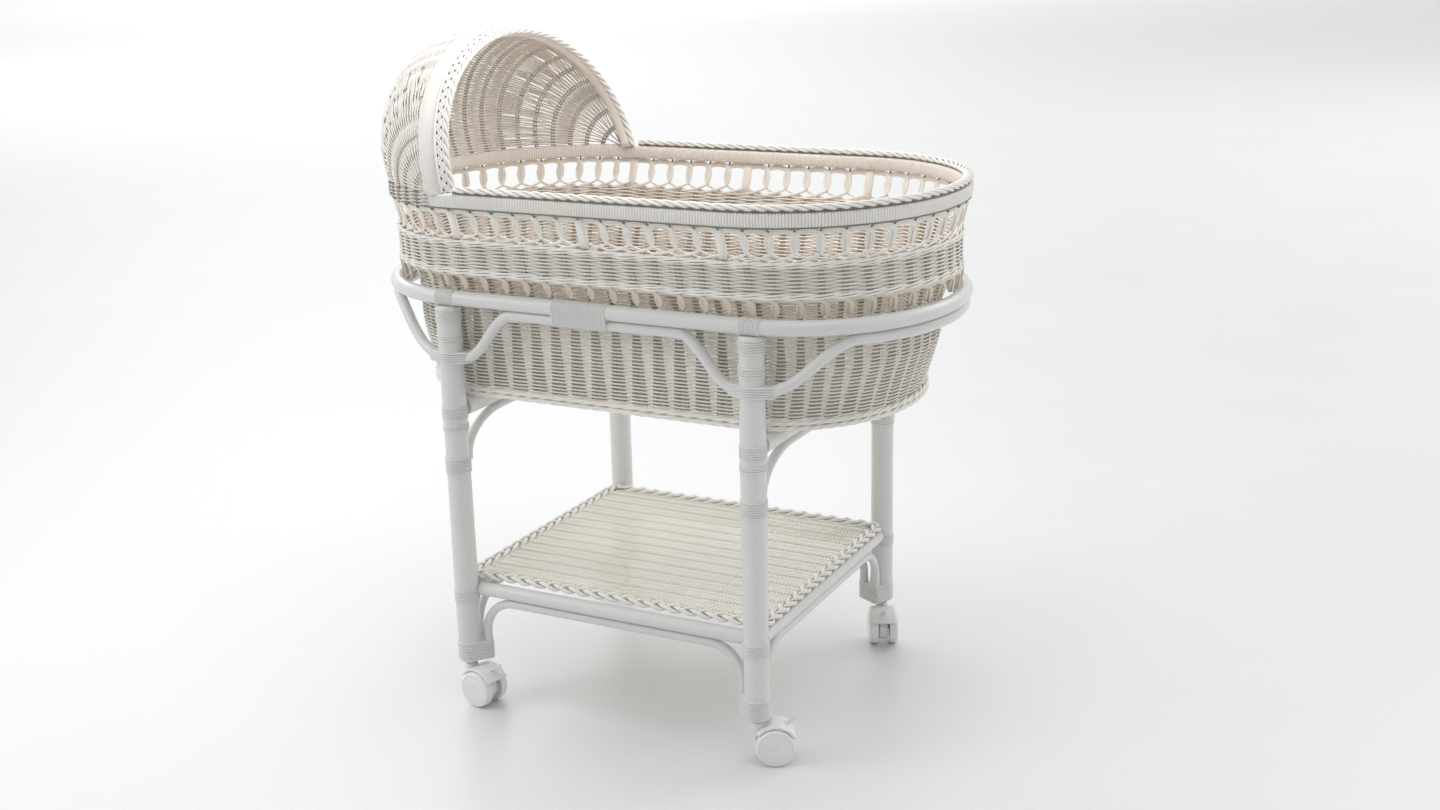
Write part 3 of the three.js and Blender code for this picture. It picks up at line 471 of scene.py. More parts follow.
def openwork_loop(cell, leaf, arch, inside):
    """One strand of a ring over a cell's eye, in cells and shares of its height, with how far out it lies.

    The rings of two neighbours overlap in a pointed leaf over the stake between them and cross under it.
    """
    half = [(1.12, 0.02), (0.86, 0.055 + 0.01 * inside), (0.5, 0.115 + 0.012 * inside),
            (0.2, 0.185 + 0.012 * inside), (0.0, 0.265 + 0.014 * inside), (-leaf * 0.72, 0.385),
            (-leaf, 0.54), (-leaf * 0.82, 0.70), (-0.25 * leaf, arch - 0.115), (0.10, arch - 0.055),
            (0.26, arch - 0.015)]
    path = half + [(0.5, arch)] + [(1 - x, y) for x, y in reversed(half)]
    smooth = smooth_path(path, 3)
    out = -np.tanh(np.linspace(2.2, -2.2, len(smooth)))
    return smooth[:, 0] + cell, smooth[:, 1], out


def openwork_loops():
    """All strands of the rings round the oval."""
    return [openwork_loop(cell, *shares) for cell in range(CELLS) for shares in LOOP_SHARES]


# Materials

def feed(tree, node, inputs):
    """Links or sets a node's inputs, given as (socket or value, input) pairs."""
    for source, target in inputs:
        if isinstance(source, bpy.types.NodeSocket):
            tree.links.new(source, node.inputs[target])
        else:
            node.inputs[target].default_value = source


def add(tree, kind, inputs=(), **settings):
    """A node with its settings, and its inputs as (socket or value, input) pairs."""
    node = tree.nodes.new(kind)
    for key, value in settings.items():
        setattr(node, key, value)
    feed(tree, node, inputs)
    return node


def mixed(tree, factor, first, second):
    """Two colours mixed by a factor."""
    mix = add(tree, "ShaderNodeMix", [(factor, "Factor"), (first, 6), (second, 7)], data_type="RGBA")
    return mix.outputs[2]


def product(tree, first, second):
    return add(tree, "ShaderNodeMath", [(first, 0), (second, 1)], operation="MULTIPLY").outputs[0]


def vector(tree, operation, *inputs):
    """A sum with vectors. A dot product gives a value, the others a vector."""
    node = add(tree, "ShaderNodeVectorMath", zip(inputs, range(2)), operation=operation)
    return node.outputs["Value" if operation == "DOT_PRODUCT" else "Vector"]


def ranged(tree, value, limits, **settings):
    """A value mapped from one range to another, its limits as (value or socket, input) pairs."""
    return add(tree, "ShaderNodeMapRange", [(value, "Value"), *limits], **settings).outputs[0]


def noise(tree, coords, scale, detail=2.0):
    cloud = add(tree, "ShaderNodeTexNoise", [(coords, "Vector"), (scale, "Scale"), (detail, "Detail")])
    return cloud.outputs["Fac"]


def node_group(name, inputs, outputs):
    """An empty shader group with these sockets."""
    group = bpy.data.node_groups.new(name, "ShaderNodeTree")
    for socket, kind, value in inputs:
        made = group.interface.new_socket(name=socket, in_out="INPUT", socket_type="NodeSocket" + kind)
        if value is not None:
            made.default_value = value
    for socket, kind in outputs:
        group.interface.new_socket(name=socket, in_out="OUTPUT", socket_type="NodeSocket" + kind)
    return group, group.nodes.new("NodeGroupInput").outputs, group.nodes.new("NodeGroupOutput").inputs


def cane_grain_group():
    """Colour drift, thin paint on raised grain and a height for cane of any kind."""
    group, given, out = node_group(
        "cane_grain",
        [("Vector", "Vector", None), ("Paint", "Color", (0.8, 0.8, 0.8, 1)),
         ("Bare", "Color", (0.6, 0.5, 0.4, 1)), ("Patch Scale", "Float", 30.0),
         ("Grain Scale", "Float", 900.0), ("Amount", "Float", 0.5)],
        [("Color", "Color"), ("Roughness", "Float"), ("Height", "Float")])
    drift = noise(group, given["Vector"], given["Patch Scale"], 3.0)
    grain = noise(group, given["Vector"], given["Grain Scale"])
    thin = ranged(group, product(group, drift, grain), [(0.16, "From Min"), (0.42, "From Max")])
    share = product(group, thin, given["Amount"])
    group.links.new(mixed(group, share, given["Paint"], given["Bare"]), out["Color"])
    group.links.new(ranged(group, grain, [(0.38, "To Min"), (0.62, "To Max")]), out["Roughness"])
    group.links.new(grain, out["Height"])


def facing_in_group():
    """1 where a surface faces the inside of the basket or the hood, 0 where it faces out."""
    group, given, out = node_group("facing_in", [("Centre", "Vector", (0, 0, 0))], [("Mask", "Float")])
    coords = add(group, "ShaderNodeTexCoord")
    surface = add(group, "ShaderNodeNewGeometry")
    from_centre = vector(group, "SUBTRACT", coords.outputs["Object"], given["Centre"])
    unit = vector(group, "NORMALIZE", vector(group, "MULTIPLY", from_centre, (0.45, 1.0, 0.25)))
    turn = vector(group, "DOT_PRODUCT", unit, surface.outputs["Normal"])
    mask = ranged(group, turn, [(0.25, "From Min"), (-0.35, "From Max")], interpolation_type="SMOOTHSTEP")
    group.links.new(mask, out["Mask"])


def crevice_shade_group():
    """1 in the open and towards 0 deep between the canes: a mask from ambient occlusion for the painted shade
    there.
    """
    group, given, out = node_group(
        "crevice_shade", [("Reach", "Float", 0.004), ("Open", "Float", 0.42)], [("Mask", "Float")])
    closed = add(group, "ShaderNodeAmbientOcclusion", [(given["Reach"], "Distance")], samples=6)
    group.links.new(ranged(group, closed.outputs["AO"], [(given["Open"], "From Max")]), out["Mask"])


def placed_group(tree, name, inputs):
    return add(tree, "ShaderNodeGroup", inputs, node_tree=bpy.data.node_groups[name]).outputs


def new_material(name):
    """A new finish: its node tree, its shader and the texture coordinates in it."""
    material = bpy.data.materials.new(name + "_finish")
    material.use_nodes = True
    tree = material.node_tree
    return tree, tree.nodes["Principled BSDF"], add(tree, "ShaderNodeTexCoord").outputs["Object"]


def relief(tree, height, distance, strength):
    bump = add(tree, "ShaderNodeBump", [(height, "Height"), (distance, "Distance"), (strength, "Strength")])
    return bump.outputs["Normal"]


def rgba(colour, share=1.0):
    return (*(c * share for c in colour), 1.0)


def cane_material(name, paint, bare_and_shade, inside=None, centre=(0, 0, 0), patch=30.0, grain=900.0, amount=0.5,
                  bump=0.3, gloss=0.25, crevice_shade=0.0, no_shade_above=0.42):
    """Painted cane: drifting paint, raised grain, an ivory inside and, if asked, painted shade darkening its
    crevices.
    """
    tree, shader, coords = new_material(name)
    painted, deep = rgba(paint), rgba(bare_and_shade, 0.9)
    if inside:
        facing = placed_group(tree, "facing_in", [(centre, "Centre")])["Mask"]
        painted = mixed(tree, facing, painted, rgba(inside))
        deep = mixed(tree, facing, deep, rgba(inside, 0.7))
    grained = placed_group(tree, "cane_grain", [
        (coords, "Vector"), (painted, "Paint"), (rgba(bare_and_shade), "Bare"), (patch, "Patch Scale"),
        (grain, "Grain Scale"), (amount, "Amount")])
    colour = grained["Color"]
    # Painted shade: where ambient occlusion finds canes close by, the colour darkens to a darker tone of the
    # unpainted cane, or of the ivory inside
    if crevice_shade:
        open_air = placed_group(tree, "crevice_shade", [(crevice_shade, "Reach"), (no_shade_above, "Open")])["Mask"]
        colour = mixed(tree, open_air, deep, colour)
    normal = relief(tree, grained["Height"], 0.15 * MM, bump)
    feed(tree, shader, [(colour, "Base Color"), (grained["Roughness"], "Roughness"), (normal, "Normal"),
                        (gloss, "Coat Weight"), (0.22, "Coat Roughness")])


def plain_material(name, colour, low, high, metal=0.0, scale=60.0, bump=0.1, coat=0.0):
    """Moulded plastic or plated steel: faint cloudiness in its roughness, colour and surface."""
    tree, shader, coords = new_material(name)
    cloud = noise(tree, coords, scale, 4.0)
    shade = mixed(tree, cloud, rgba(colour, 0.93), rgba(colour))
    rough = ranged(tree, cloud, [(low, "To Min"), (high, "To Max")])
    normal = relief(tree, noise(tree, coords, scale * 20), 0.05 * MM, bump)
    feed(tree, shader, [(shade, "Base Color"), (rough, "Roughness"), (normal, "Normal"), (metal, "Metallic"),
                        (coat, "Coat Weight")])


def make_materials(finish):
    """All finishes, by name."""
    cane_grain_group()
    facing_in_group()
    crevice_shade_group()
    paint, ivory = tuple(finish.wicker_paint), tuple(finish.wicker_inside)
    # The unpainted cane's colour shows where the paint is thin, and also gives the painted shade in crevices
    bare_and_shade = (0.50, 0.40, 0.29)
    smooth = tuple(c * 0.94 for c in paint)
    # Each finish's reach and open level set the painted shade between its canes, from ambient occlusion
    cane_material("painted_cane", tuple(finish.pole_paint), (0.62, 0.61, 0.58), patch=14.0, grain=260.0,
                  amount=0.15, bump=0.25, gloss=0.8, crevice_shade=1.6 * MM, no_shade_above=0.45)
    cane_material("wall_wicker", paint, bare_and_shade, ivory, (0, 0, 0.62), amount=0.2, crevice_shade=4 * MM, no_shade_above=0.32)
    cane_material("skirt_wicker", paint, bare_and_shade, ivory, (0, 0, 0.62), amount=0.2, crevice_shade=3.5 * MM)
    cane_material("hood_wicker", paint, bare_and_shade, ivory, HOOD_CENTRE, amount=0.15, crevice_shade=3 * MM, no_shade_above=0.36)
    cane_material("open_wicker", paint, bare_and_shade, ivory, (0, 0, 0.66), amount=0.25, crevice_shade=5 * MM)
    cane_material("rim_cane", smooth, bare_and_shade, ivory, (0, 0, 0.7), amount=0.12, bump=0.15, crevice_shade=2.5 * MM,
                  no_shade_above=0.5)
    cane_material("edge_cane", smooth, bare_and_shade, amount=0.12, bump=0.15, crevice_shade=3 * MM, no_shade_above=0.6)
    cane_material("inner_wicker", ivory, bare_and_shade, amount=0.2, crevice_shade=4 * MM)
    cane_material("upper_wicker", ivory, bare_and_shade, amount=0.15)
    cane_material("scallop_cane", (0.80, 0.73, 0.63), bare_and_shade, amount=0.3, crevice_shade=4 * MM)
    # Dark cane: the openwork's ties, and painted shade where it lies as slits along the rim
    cane_material("tie_and_shade_cane", (0.27, 0.235, 0.185), (0.17, 0.14, 0.10), amount=0.6, bump=0.5, gloss=0.0)
    # Dark cane of the stakes: partly their own unpainted colour, partly painted shade of the gaps between the
    # rows in front
    cane_material("soft_cane", (0.46, 0.41, 0.34), (0.31, 0.27, 0.21), amount=0.5, bump=0.5, gloss=0.0)
    cane_material("shade_cane", (0.12, 0.10, 0.08), (0.08, 0.07, 0.05), amount=0.4, bump=0.5, gloss=0.0)
    cane_material("shelf_wicker", tuple(finish.shelf_paint), (0.52, 0.47, 0.38), amount=0.12,
                  crevice_shade=2 * MM, no_shade_above=0.62)
    cane_material("shelf_shade", (0.34, 0.32, 0.29), (0.25, 0.22, 0.18))
    plain_material("caster_plastic", (0.90, 0.90, 0.89), 0.22, 0.42, coat=0.3)
    plain_material("caster_steel", (0.62, 0.63, 0.65), 0.25, 0.4, metal=1.0)
    plain_material("studio_floor", (0.79, 0.795, 0.80), 0.35, 0.5, scale=3.0, bump=0.02)


# Operators

class BASSINET_OT_finishes(Operator):
    """Make the paints, the wicker finishes, the plastic and the steel"""

    bl_idname = "bassinet.finishes"
    bl_label = "Finishes"

    def execute(self, context):
        make_materials(context.scene.bassinet_finish)
        for node in frame["nodes"].values():
            node.data.materials.clear()
            node.data.materials.append(finish_of("caster_steel"))
        return {"FINISHED"}


def leg_at(corner):
    """A leg's low and high ends and its place."""
    low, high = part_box(f"leg_{corner}")
    return low.z, high.z, (low.x + high.x) / 2, (low.y + high.y) / 2


class BASSINET_OT_legs(Operator):
    """Turn the four poles with their rounded ends"""

    bl_idname = "bassinet.legs"
    bl_label = "Legs"

    def execute(self, context):
        radius, round_off, bore = context.scene.bassinet_stand.leg_radius, 2 * MM, 8 * MM
        for corner in CORNERS:
            low, high, x, y = leg_at(corner)
            profile = [(bore, low + 30 * MM), (bore, low), (radius - round_off, low)]
            profile += [(radius - round_off * (1 - math.sin(a)), low + round_off * (1 - math.cos(a)))
                        for a in (0.4, 0.8, 1.2, math.pi / 2)]
            # The pole is a natural cane, so its thickness drifts a little along it
            for k in range(1, 30):
                share = k / 30
                height = low + round_off + share * (high - low - 2 * round_off)
                profile.append((radius + 0.25 * MM * math.sin(9 * share + 20 * x + 13 * y), height))
            profile += [(radius, high - round_off), (radius - round_off, high), (0, high)]
            stand_piece(f"pole_{corner}", lathe(profile, 32, Matrix.Translation((x, y, 0))), f"leg_{corner}")
        return {"FINISHED"}


def hoop_line():
    """The hoop's centre line, half its width, its height and where its rounded ends start."""
    low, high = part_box("hoop")
    half = (high.y - low.y) / 2 - HOOP_RADIUS - WRAP
    straight = high.x - HOOP_RADIUS - HOOP_TURN
    turns = np.linspace(-np.pi / 2, np.pi / 2, 49)
    foot = np.stack([straight + HOOP_TURN * np.cos(turns), half * np.sin(turns)], axis=-1)
    height = (low.z + HOOP_RADIUS) + 0 * turns
    line = np.vstack([np.column_stack([foot, height]), np.column_stack([-foot, height])])
    return line, line[:, 1].max(), line[0][2], straight


class BASSINET_OT_hoop(Operator):
    """Bend the hoop that carries the basket"""

    bl_idname = "bassinet.hoop"
    bl_label = "Hoop"

    def execute(self, context):
        stand_piece("hoop_cane", canes([hoop_line()[0]], HOOP_RADIUS, 16, True), "hoop")
        return {"FINISHED"}


class BASSINET_OT_braces(Operator):
    """Bend the braces of the hoop"""

    bl_idname = "bassinet.braces"
    bl_label = "Braces"

    def execute(self, context):
        _, half, height, straight = hoop_line()
        under = height - HOOP_FLAT - CLEAR - BRACE_RADIUS
        beside_leg = LEG_RADIUS + WRAP + CLEAR + BRACE_RADIUS
        share = np.linspace(0, 1, 15)
        for name, side in (("side_brace_front", -1), ("side_brace_back", 1)):
            rising = np.column_stack([LEG_X - beside_leg - 72 * MM * share, side * LEG_Y + 0 * share,
                                      eased(BRACE_FOOT, under, share)])
            path = np.vstack([rising, (rising * (-1, 1, 1))[::-1]])
            stand_piece(f"{name}_cane", canes([path], BRACE_RADIUS, 14), name)
        steps = np.linspace(2, END_CELLS - 2, 61)[::3]
        turn = np.pi * (steps / END_CELLS - 0.5)
        climb = np.minimum(1, (np.minimum(steps, END_CELLS - steps) - 1) / 4)
        for name, side in (("end_brace_foot", 1), ("end_brace_head", -1)):
            path = np.column_stack([side * (straight + HOOP_TURN * np.cos(turn)), half * np.sin(turn),
                                    eased(BRACE_FOOT, under, climb)])
            at_leg = side * (LEG_X + beside_leg)
            path = smooth_path([(at_leg, -LEG_Y, BRACE_FOOT), *path, (at_leg, LEG_Y, BRACE_FOOT)], 4)
            stand_piece(f"{name}_cane", canes([path], BRACE_RADIUS, 14), name)
        return {"FINISHED"}


def rail_box(node):
    """A rail's box, low, high and size, and the axis that it runs along."""
    low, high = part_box(node)
    size = high - low
    return low, high, size, 0 if size.x > size.y else 1


class BASSINET_OT_rails(Operator):
    """Set the cross rails and the shelf rails, each with its arch"""

    bl_idname = "bassinet.rails"
    bl_label = "Rails"

    def execute(self, context):
        for kind, place in RAILS:
            node = f"{kind}_rail_{place}"
            low, high, size, axis = rail_box(node)
            path = np.tile((low + high) / 2, (24, 1))
            path[:, axis] += size[axis] * np.linspace(-0.5, 0.5, 24)
            stand_piece(f"{node}_cane", canes([path], CROSS_RAIL if kind == "cross" else SHELF_RAIL, 18), node)
        turn = np.linspace(0, np.pi / 2, 14)
        for kind, place in RAILS:
            node = f"{kind}_rail_brace_{place}"
            low, high, size, axis = rail_box(node)
            run, rise = (84 * MM, 50 * MM) if kind == "cross" else (46 * MM, 46 * MM)
            top = high.z - RAIL_ARCH + 0.5 * MM
            path = np.tile((low + high) / 2, (len(turn) + 1, 1))
            path[:, axis] = np.append(0, run * (1 - np.cos(turn))) - (size[axis] / 2 - RAIL_ARCH)
            path[:, 2] = np.append(low.z, top - rise * (1 - np.sin(turn)))
            mirrored = path.copy()
            mirrored[:, axis] *= -1
            stand_piece(f"{node}_cane", canes([np.vstack([path, mirrored[::-1]])], RAIL_ARCH, 12), node)
        return {"FINISHED"}


class BASSINET_OT_bindings(Operator):
    """Wind flat cane round the joints of the stand"""

    bl_idname = "bassinet.bindings"
    bl_label = "Cane bindings"

    def execute(self, context):
        stand = context.scene.bassinet_stand
        _, hoop_side, hoop_height, _ = hoop_line()
        rod = stand.leg_radius + 7.5 * MM
        pole = (0, 0, stand.leg_radius + 0.1 * MM)
        for corner in CORNERS:
            low, high, x, y = leg_at(corner)
            to_middle = -1 if x > 0 else 1
            to_centre = -1 if y > 0 else 1
            by_arches = [pole, (to_middle * rod, to_centre * 10 * MM, RAIL_ARCH),
                         (0, to_centre * rod, RAIL_ARCH)]
            by_braces = [pole, (to_middle * 24.5 * MM, 0, 6.5 * MM), (-to_middle * 24.5 * MM, 0, 6.5 * MM)]
            # At the shelf's arches and rails, the cross rails' arches, over and under the cross rails, at the
            # hoop's braces, over them and at the head of the leg; the last one lies over the hoop
            lashings = [binding(circles, span * MM, Matrix.Translation((x, y, height)), stand)
                        for height, span, circles in (
                            (low + 15 * MM, 26, by_arches), (155 * MM, 18, [pole]), (340 * MM, 22, [pole]),
                            (412 * MM, 18, [pole]), (392 * MM, 8.8, [pole]), (BRACE_FOOT, 15, by_braces),
                            (512 * MM, 13, [pole]), (high - 12 * MM, 18, [pole]))]
            over = laid((x, hoop_side * -to_centre, hoop_height), "Y")
            lashings.append(binding([(0, 0, HOOP_RADIUS + 0.1 * MM)], 26 * MM, over, stand))
            stand_piece(f"bindings_{corner}", joined(lashings))
        sides = [binding([(0, 0, HOOP_RADIUS), (16.5 * MM, 0, 7 * MM)], 78 * MM,
                         laid((-16 * MM, side * hoop_side, hoop_height), "Y"), stand) for side in (-1, 1)]
        stand_piece("bindings_hoop_sides", joined(sides))
        circles = [(0, 0, CROSS_RAIL), (0, -CROSS_RAIL - 6.5 * MM, RAIL_ARCH)]
        middles = [sum(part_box(f"cross_rail_{end}"), Vector()) / 2 for end in ("head", "foot")]
        rails = [binding(circles, 70 * MM, laid(middle, "X"), stand) for middle in middles]
        stand_piece("bindings_cross_rails", joined(rails))
        return {"FINISHED"}


class BASSINET_OT_shelf(Operator):
    """Weave the shelf and plait its border"""

    bl_idname = "bassinet.shelf"
    bl_label = "Shelf"

    def execute(self, context):
        weave = context.scene.bassinet_weave
        low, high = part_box("shelf_panel")
        count, swing = 13, 1.35 * MM
        rows = int((high.x - low.x) / weave.weft_pitch)
        pitch = (high.y - low.y) / count
        middle = high.z - swing - weave.weft_radius
        wefts = []
        for row in range(rows):
            place, out = weft_stations(count, row, swing)
            y = np.concatenate([[low.y], low.y + (place + 0.5) * pitch, [high.y]])
            z = middle + np.concatenate([out[:1], out, out[-1:]])
            wefts.append(np.column_stack([0 * y + low.x + (row + 0.5) * (high.x - low.x) / rows, y, z]))
        shelf_piece("shelf_wefts", canes(wefts, weave.weft_radius * 0.9), "shelf_wicker", "shelf_panel")
        across = [low.y + (k + 0.5) * pitch + side * 1.9 * MM for k in range(count) for side in (-1, 1)]
        stakes = [[(low.x, y, middle), (high.x, y, middle)] for y in across]
        shelf_piece("shelf_stakes", canes(stakes, weave.stake_radius, 6), "shelf_wicker")
        self.border()
        return {"FINISHED"}

    @staticmethod
    def border():
        """A flat plait of three strands round the shelf, over dark canes that paint the shade between its
        strands.
        """
        low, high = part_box("shelf_border")
        corner, inset, plaits = 9 * MM, 1.5 * MM, 24
        reach = np.array([high.x - inset, high.y - inset])
        path = []
        for sx, sy, start in ((1, 1, 0), (-1, 1, np.pi / 2), (-1, -1, np.pi), (1, -1, 1.5 * np.pi)):
            centre = np.array([sx, sy]) * (reach - corner)
            path += [centre + corner * np.array([np.cos(start + a), np.sin(start + a)])
                     for a in np.linspace(0, np.pi / 2, 7)]
        path = np.array(path + path[:1])
        lengths = np.append(0, np.cumsum(np.linalg.norm(np.diff(path, axis=0), axis=1)))
        z = (low.z + high.z) / 2 + 1.2 * MM

        def line(station, out, up):
            x, y = (np.interp(station, lengths, path[:, k]) for k in (0, 1))
            after = np.mod(station + MM, lengths[-1])
            ahead = np.stack([np.interp(after, lengths, path[:, 0]) - x,
                              np.interp(after, lengths, path[:, 1]) - y], axis=-1)
            ahead /= np.linalg.norm(ahead, axis=-1)[..., None]
            return np.stack([x + ahead[..., 1] * out, y - ahead[..., 0] * out, z + up], axis=-1)

        stations = np.linspace(0, lengths[-1], plaits * 18, endpoint=False)
        phases = [2 * np.pi * (stations / lengths[-1] * plaits + k / 3) for k in range(3)]
        strands = [line(stations, 5.6 * MM * np.sin(phase), 2.4 * MM * np.sin(2 * phase)) for phase in phases]
        shelf_piece("shelf_braid", canes(strands, 2.7 * MM, 8, True), "edge_cane", "shelf_border")
        # Two dark canes under the plait paint the shade seen between its strands
        sparse = stations[::8]
        core = [line(sparse, side * 2.8 * MM, 0 * sparse) for side in (-1, 1)]
        shelf_piece("shelf_braid_shade", canes(core, 2.4 * MM, 6, True), "shelf_shade")


class BASSINET_OT_basket_wall(Operator):
    """Weave the basket's wall round groups of stakes"""

    bl_idname = "bassinet.basket_wall"
    bl_label = "Basket wall"

    def execute(self, context):
        weave = context.scene.bassinet_weave
        plans = rings("basket_wall")
        foot, top = plans[0][3], plans[-1][3]
        wefts, stakes = woven_wall(plans, foot, top, weave.wall_stakes, weave, middle=3.2 * MM,
                                   reach=(1.85, 0.5), spread=(8.5 * MM, -2.5 * MM))
        skirted = int(len(wefts) * (rings("skirt_scallops")[0][3] - foot) / (top - foot))
        basket_piece("wall_wefts", canes(wefts[:skirted], weave.weft_radius, 4, True), "wall_wicker",
                     "basket_wall")
        basket_piece("wall_upper_wefts", canes(wefts[skirted:], weave.weft_radius, 4, True), "upper_wicker")
        basket_piece("wall_stakes", canes(stakes, weave.stake_radius), "soft_cane")
        return {"FINISHED"}


class BASSINET_OT_basket_foot(Operator):
    """Plait the foot border and weave the floor"""

    bl_idname = "bassinet.basket_foot"
    bl_label = "Basket foot"

    def execute(self, context):
        oval, low, _ = box_plan("basket_foot_border")
        plan, turns = (*oval, low.z), 68
        stations = all_round(turns * 10)
        paths = []
        for start, height in ((0, 3.7 * MM), (0.5, 10.2 * MM)):
            paths += twisted(plan, stations + start, strands=3, pitch=2 * CELLS / turns, across=2.0 * MM,
                             high=1.6 * MM, out=-4.4 * MM, up=height)
        inner = [beside(plan, all_round(2 * CELLS), -out * MM, up * MM) for out in (9, 12.4) for up in (3, 10)]
        braid = joined([canes(paths, 2.05 * MM, 6, True), canes(inner, 2.8 * MM, 6, True)])
        basket_piece("foot_braid", braid, "wall_wicker", "basket_foot_border")
        self.floor(context.scene.bassinet_weave)
        return {"FINISHED"}

    @staticmethod
    def floor(weave):
        """Wefts over and under ribs that run along the basket."""
        oval, low, high = box_plan("basket_floor")
        edge = on_plan((*oval, 0), np.linspace(0, CELLS, 273))
        z, pitch = high.z - 2.4 * MM, 24 * MM
        ribs, wefts = [], []
        for y in (k * pitch for k in range(-7, 8)):
            span = edge[abs(edge[:, 1]) >= abs(y)][:, 0]
            if len(span):
                ribs += [[(end, y + side * 1.8 * MM, z) for end in (span.min(), span.max())]
                         for side in (-1, 1)]
        order = np.argsort(edge[:, 0])
        for row, x in enumerate(np.arange(low.x + 2 * MM, high.x - 2 * MM, weave.weft_pitch)):
            half = np.interp(x, edge[order, 0], abs(edge[order, 1]))
            points = [(x, -half, z)]
            for k in range(math.ceil(-half / pitch), math.floor(half / pitch) + 1):
                side = 1 if (k + row) % 2 else -1
                for share, swing in zip(PASS_SHARES, PASS_SWING_SHARES):
                    y = (k + share) * pitch
                    if abs(y) < half - 1 * MM:
                        points.append((x, y, z + side * swing * 1.3 * MM))
            wefts.append([*points, (x, half, z)])
        inner_piece("floor_wefts", canes(wefts, weave.weft_radius * HEAVY_WEFT), "basket_floor")
        inner_piece("floor_ribs", canes(ribs, 1.5 * MM, 6))


class BASSINET_OT_openwork(Operator):
    """Bend the strands and posts of the openwork under the rim"""

    bl_idname = "bassinet.openwork"
    bl_label = "Openwork"

    def execute(self, context):
        weave = context.scene.bassinet_weave
        plans = rings("openwork")
        low, high = plans[0][3] - 2 * MM, plans[-1][3] + 0.6 * MM
        paths = [on_wall(plans, u, low + (high - low) * v, out * 1.35 * MM - 2.3 * MM)
                 for u, v, out in openwork_loops()]
        basket_piece("openwork_strands", canes(paths, weave.strand_radius, 6), "open_wicker", "openwork")
        section = ((-0.19, 0.4), (-0.16, 1.2), (0.16, 1.2), (0.19, 0.4), (0.19, -2.6), (0.16, -3.4),
                   (-0.16, -3.4), (-0.19, -2.6))
        posts = [loft([[on_wall(plans, first + cell + u, height, out * MM - 1 * MM) for u, out in section]
                       for height in np.linspace(low, high, 4)])
                 for first in (0, SIDE_CELLS + END_CELLS) for cell in range(0, SIDE_CELLS + 1, POST_EVERY)]
        basket_piece("openwork_posts", joined(posts), "open_wicker")
        ties = [on_wall(plans, cell + 0 * np.arange(3), high - np.array((5.5, 2.5, 0.0)) * MM,
                        np.array((-2.4, -0.2, -0.6)) * MM) for cell in range(CELLS)]
        basket_piece("openwork_ties", canes(ties, 1.5 * MM, 6), "tie_and_shade_cane")
        return {"FINISHED"}


class BASSINET_OT_skirt(Operator):
    """Weave the skirt and bend its scalloped edge"""

    bl_idname = "bassinet.skirt"
    bl_label = "Skirt"

    def execute(self, context):
        weave = context.scene.bassinet_weave
        plans = rings("skirt")
        foot, top = plans[0][3], plans[-1][3]
        wale = 6.6 * MM
        wefts, stakes = woven_wall(plans, foot + wale, top - wale, CELLS, weave, middle=3.6 * MM,
                                   reach=(0.7, 0.7), spread=(2.2 * MM, 2.2 * MM))
        basket_piece("skirt_wefts", canes(wefts, weave.weft_radius, 4, True), "skirt_wicker", "skirt")
        basket_piece("skirt_stakes", canes(stakes, weave.stake_radius), "soft_cane")
        stations, twists = all_round(CELLS * 6), []
        for height in (foot + 1.8 * MM, foot + 5.2 * MM, top - 5.2 * MM, top - 1.8 * MM):
            twists += twisted(plan_between(plans, height), stations, strands=2, pitch=2.0, across=1.6 * MM,
                              high=1.0 * MM, out=-3.0 * MM)
        basket_piece("skirt_twists", canes(twists, 1.45 * MM, 6, True), "skirt_wicker")
        plans = rings("skirt_scallops")
        base, cut = plans[0][3], 0.26
        height = plans[-1][3] - base + 2 * MM
        paths = []
        for u, v, out in openwork_loops():
            seen = v > cut
            z = base + 1.4 * MM + height * (v[seen] - cut) / (1 - cut)
            paths.append(on_wall(plans, u[seen], z, out[seen] * 1.5 * MM - 2 * MM))
        basket_piece("scallop_strands", canes(paths, 1.4 * MM, 6), "scallop_cane", "skirt_scallops")
        return {"FINISHED"}


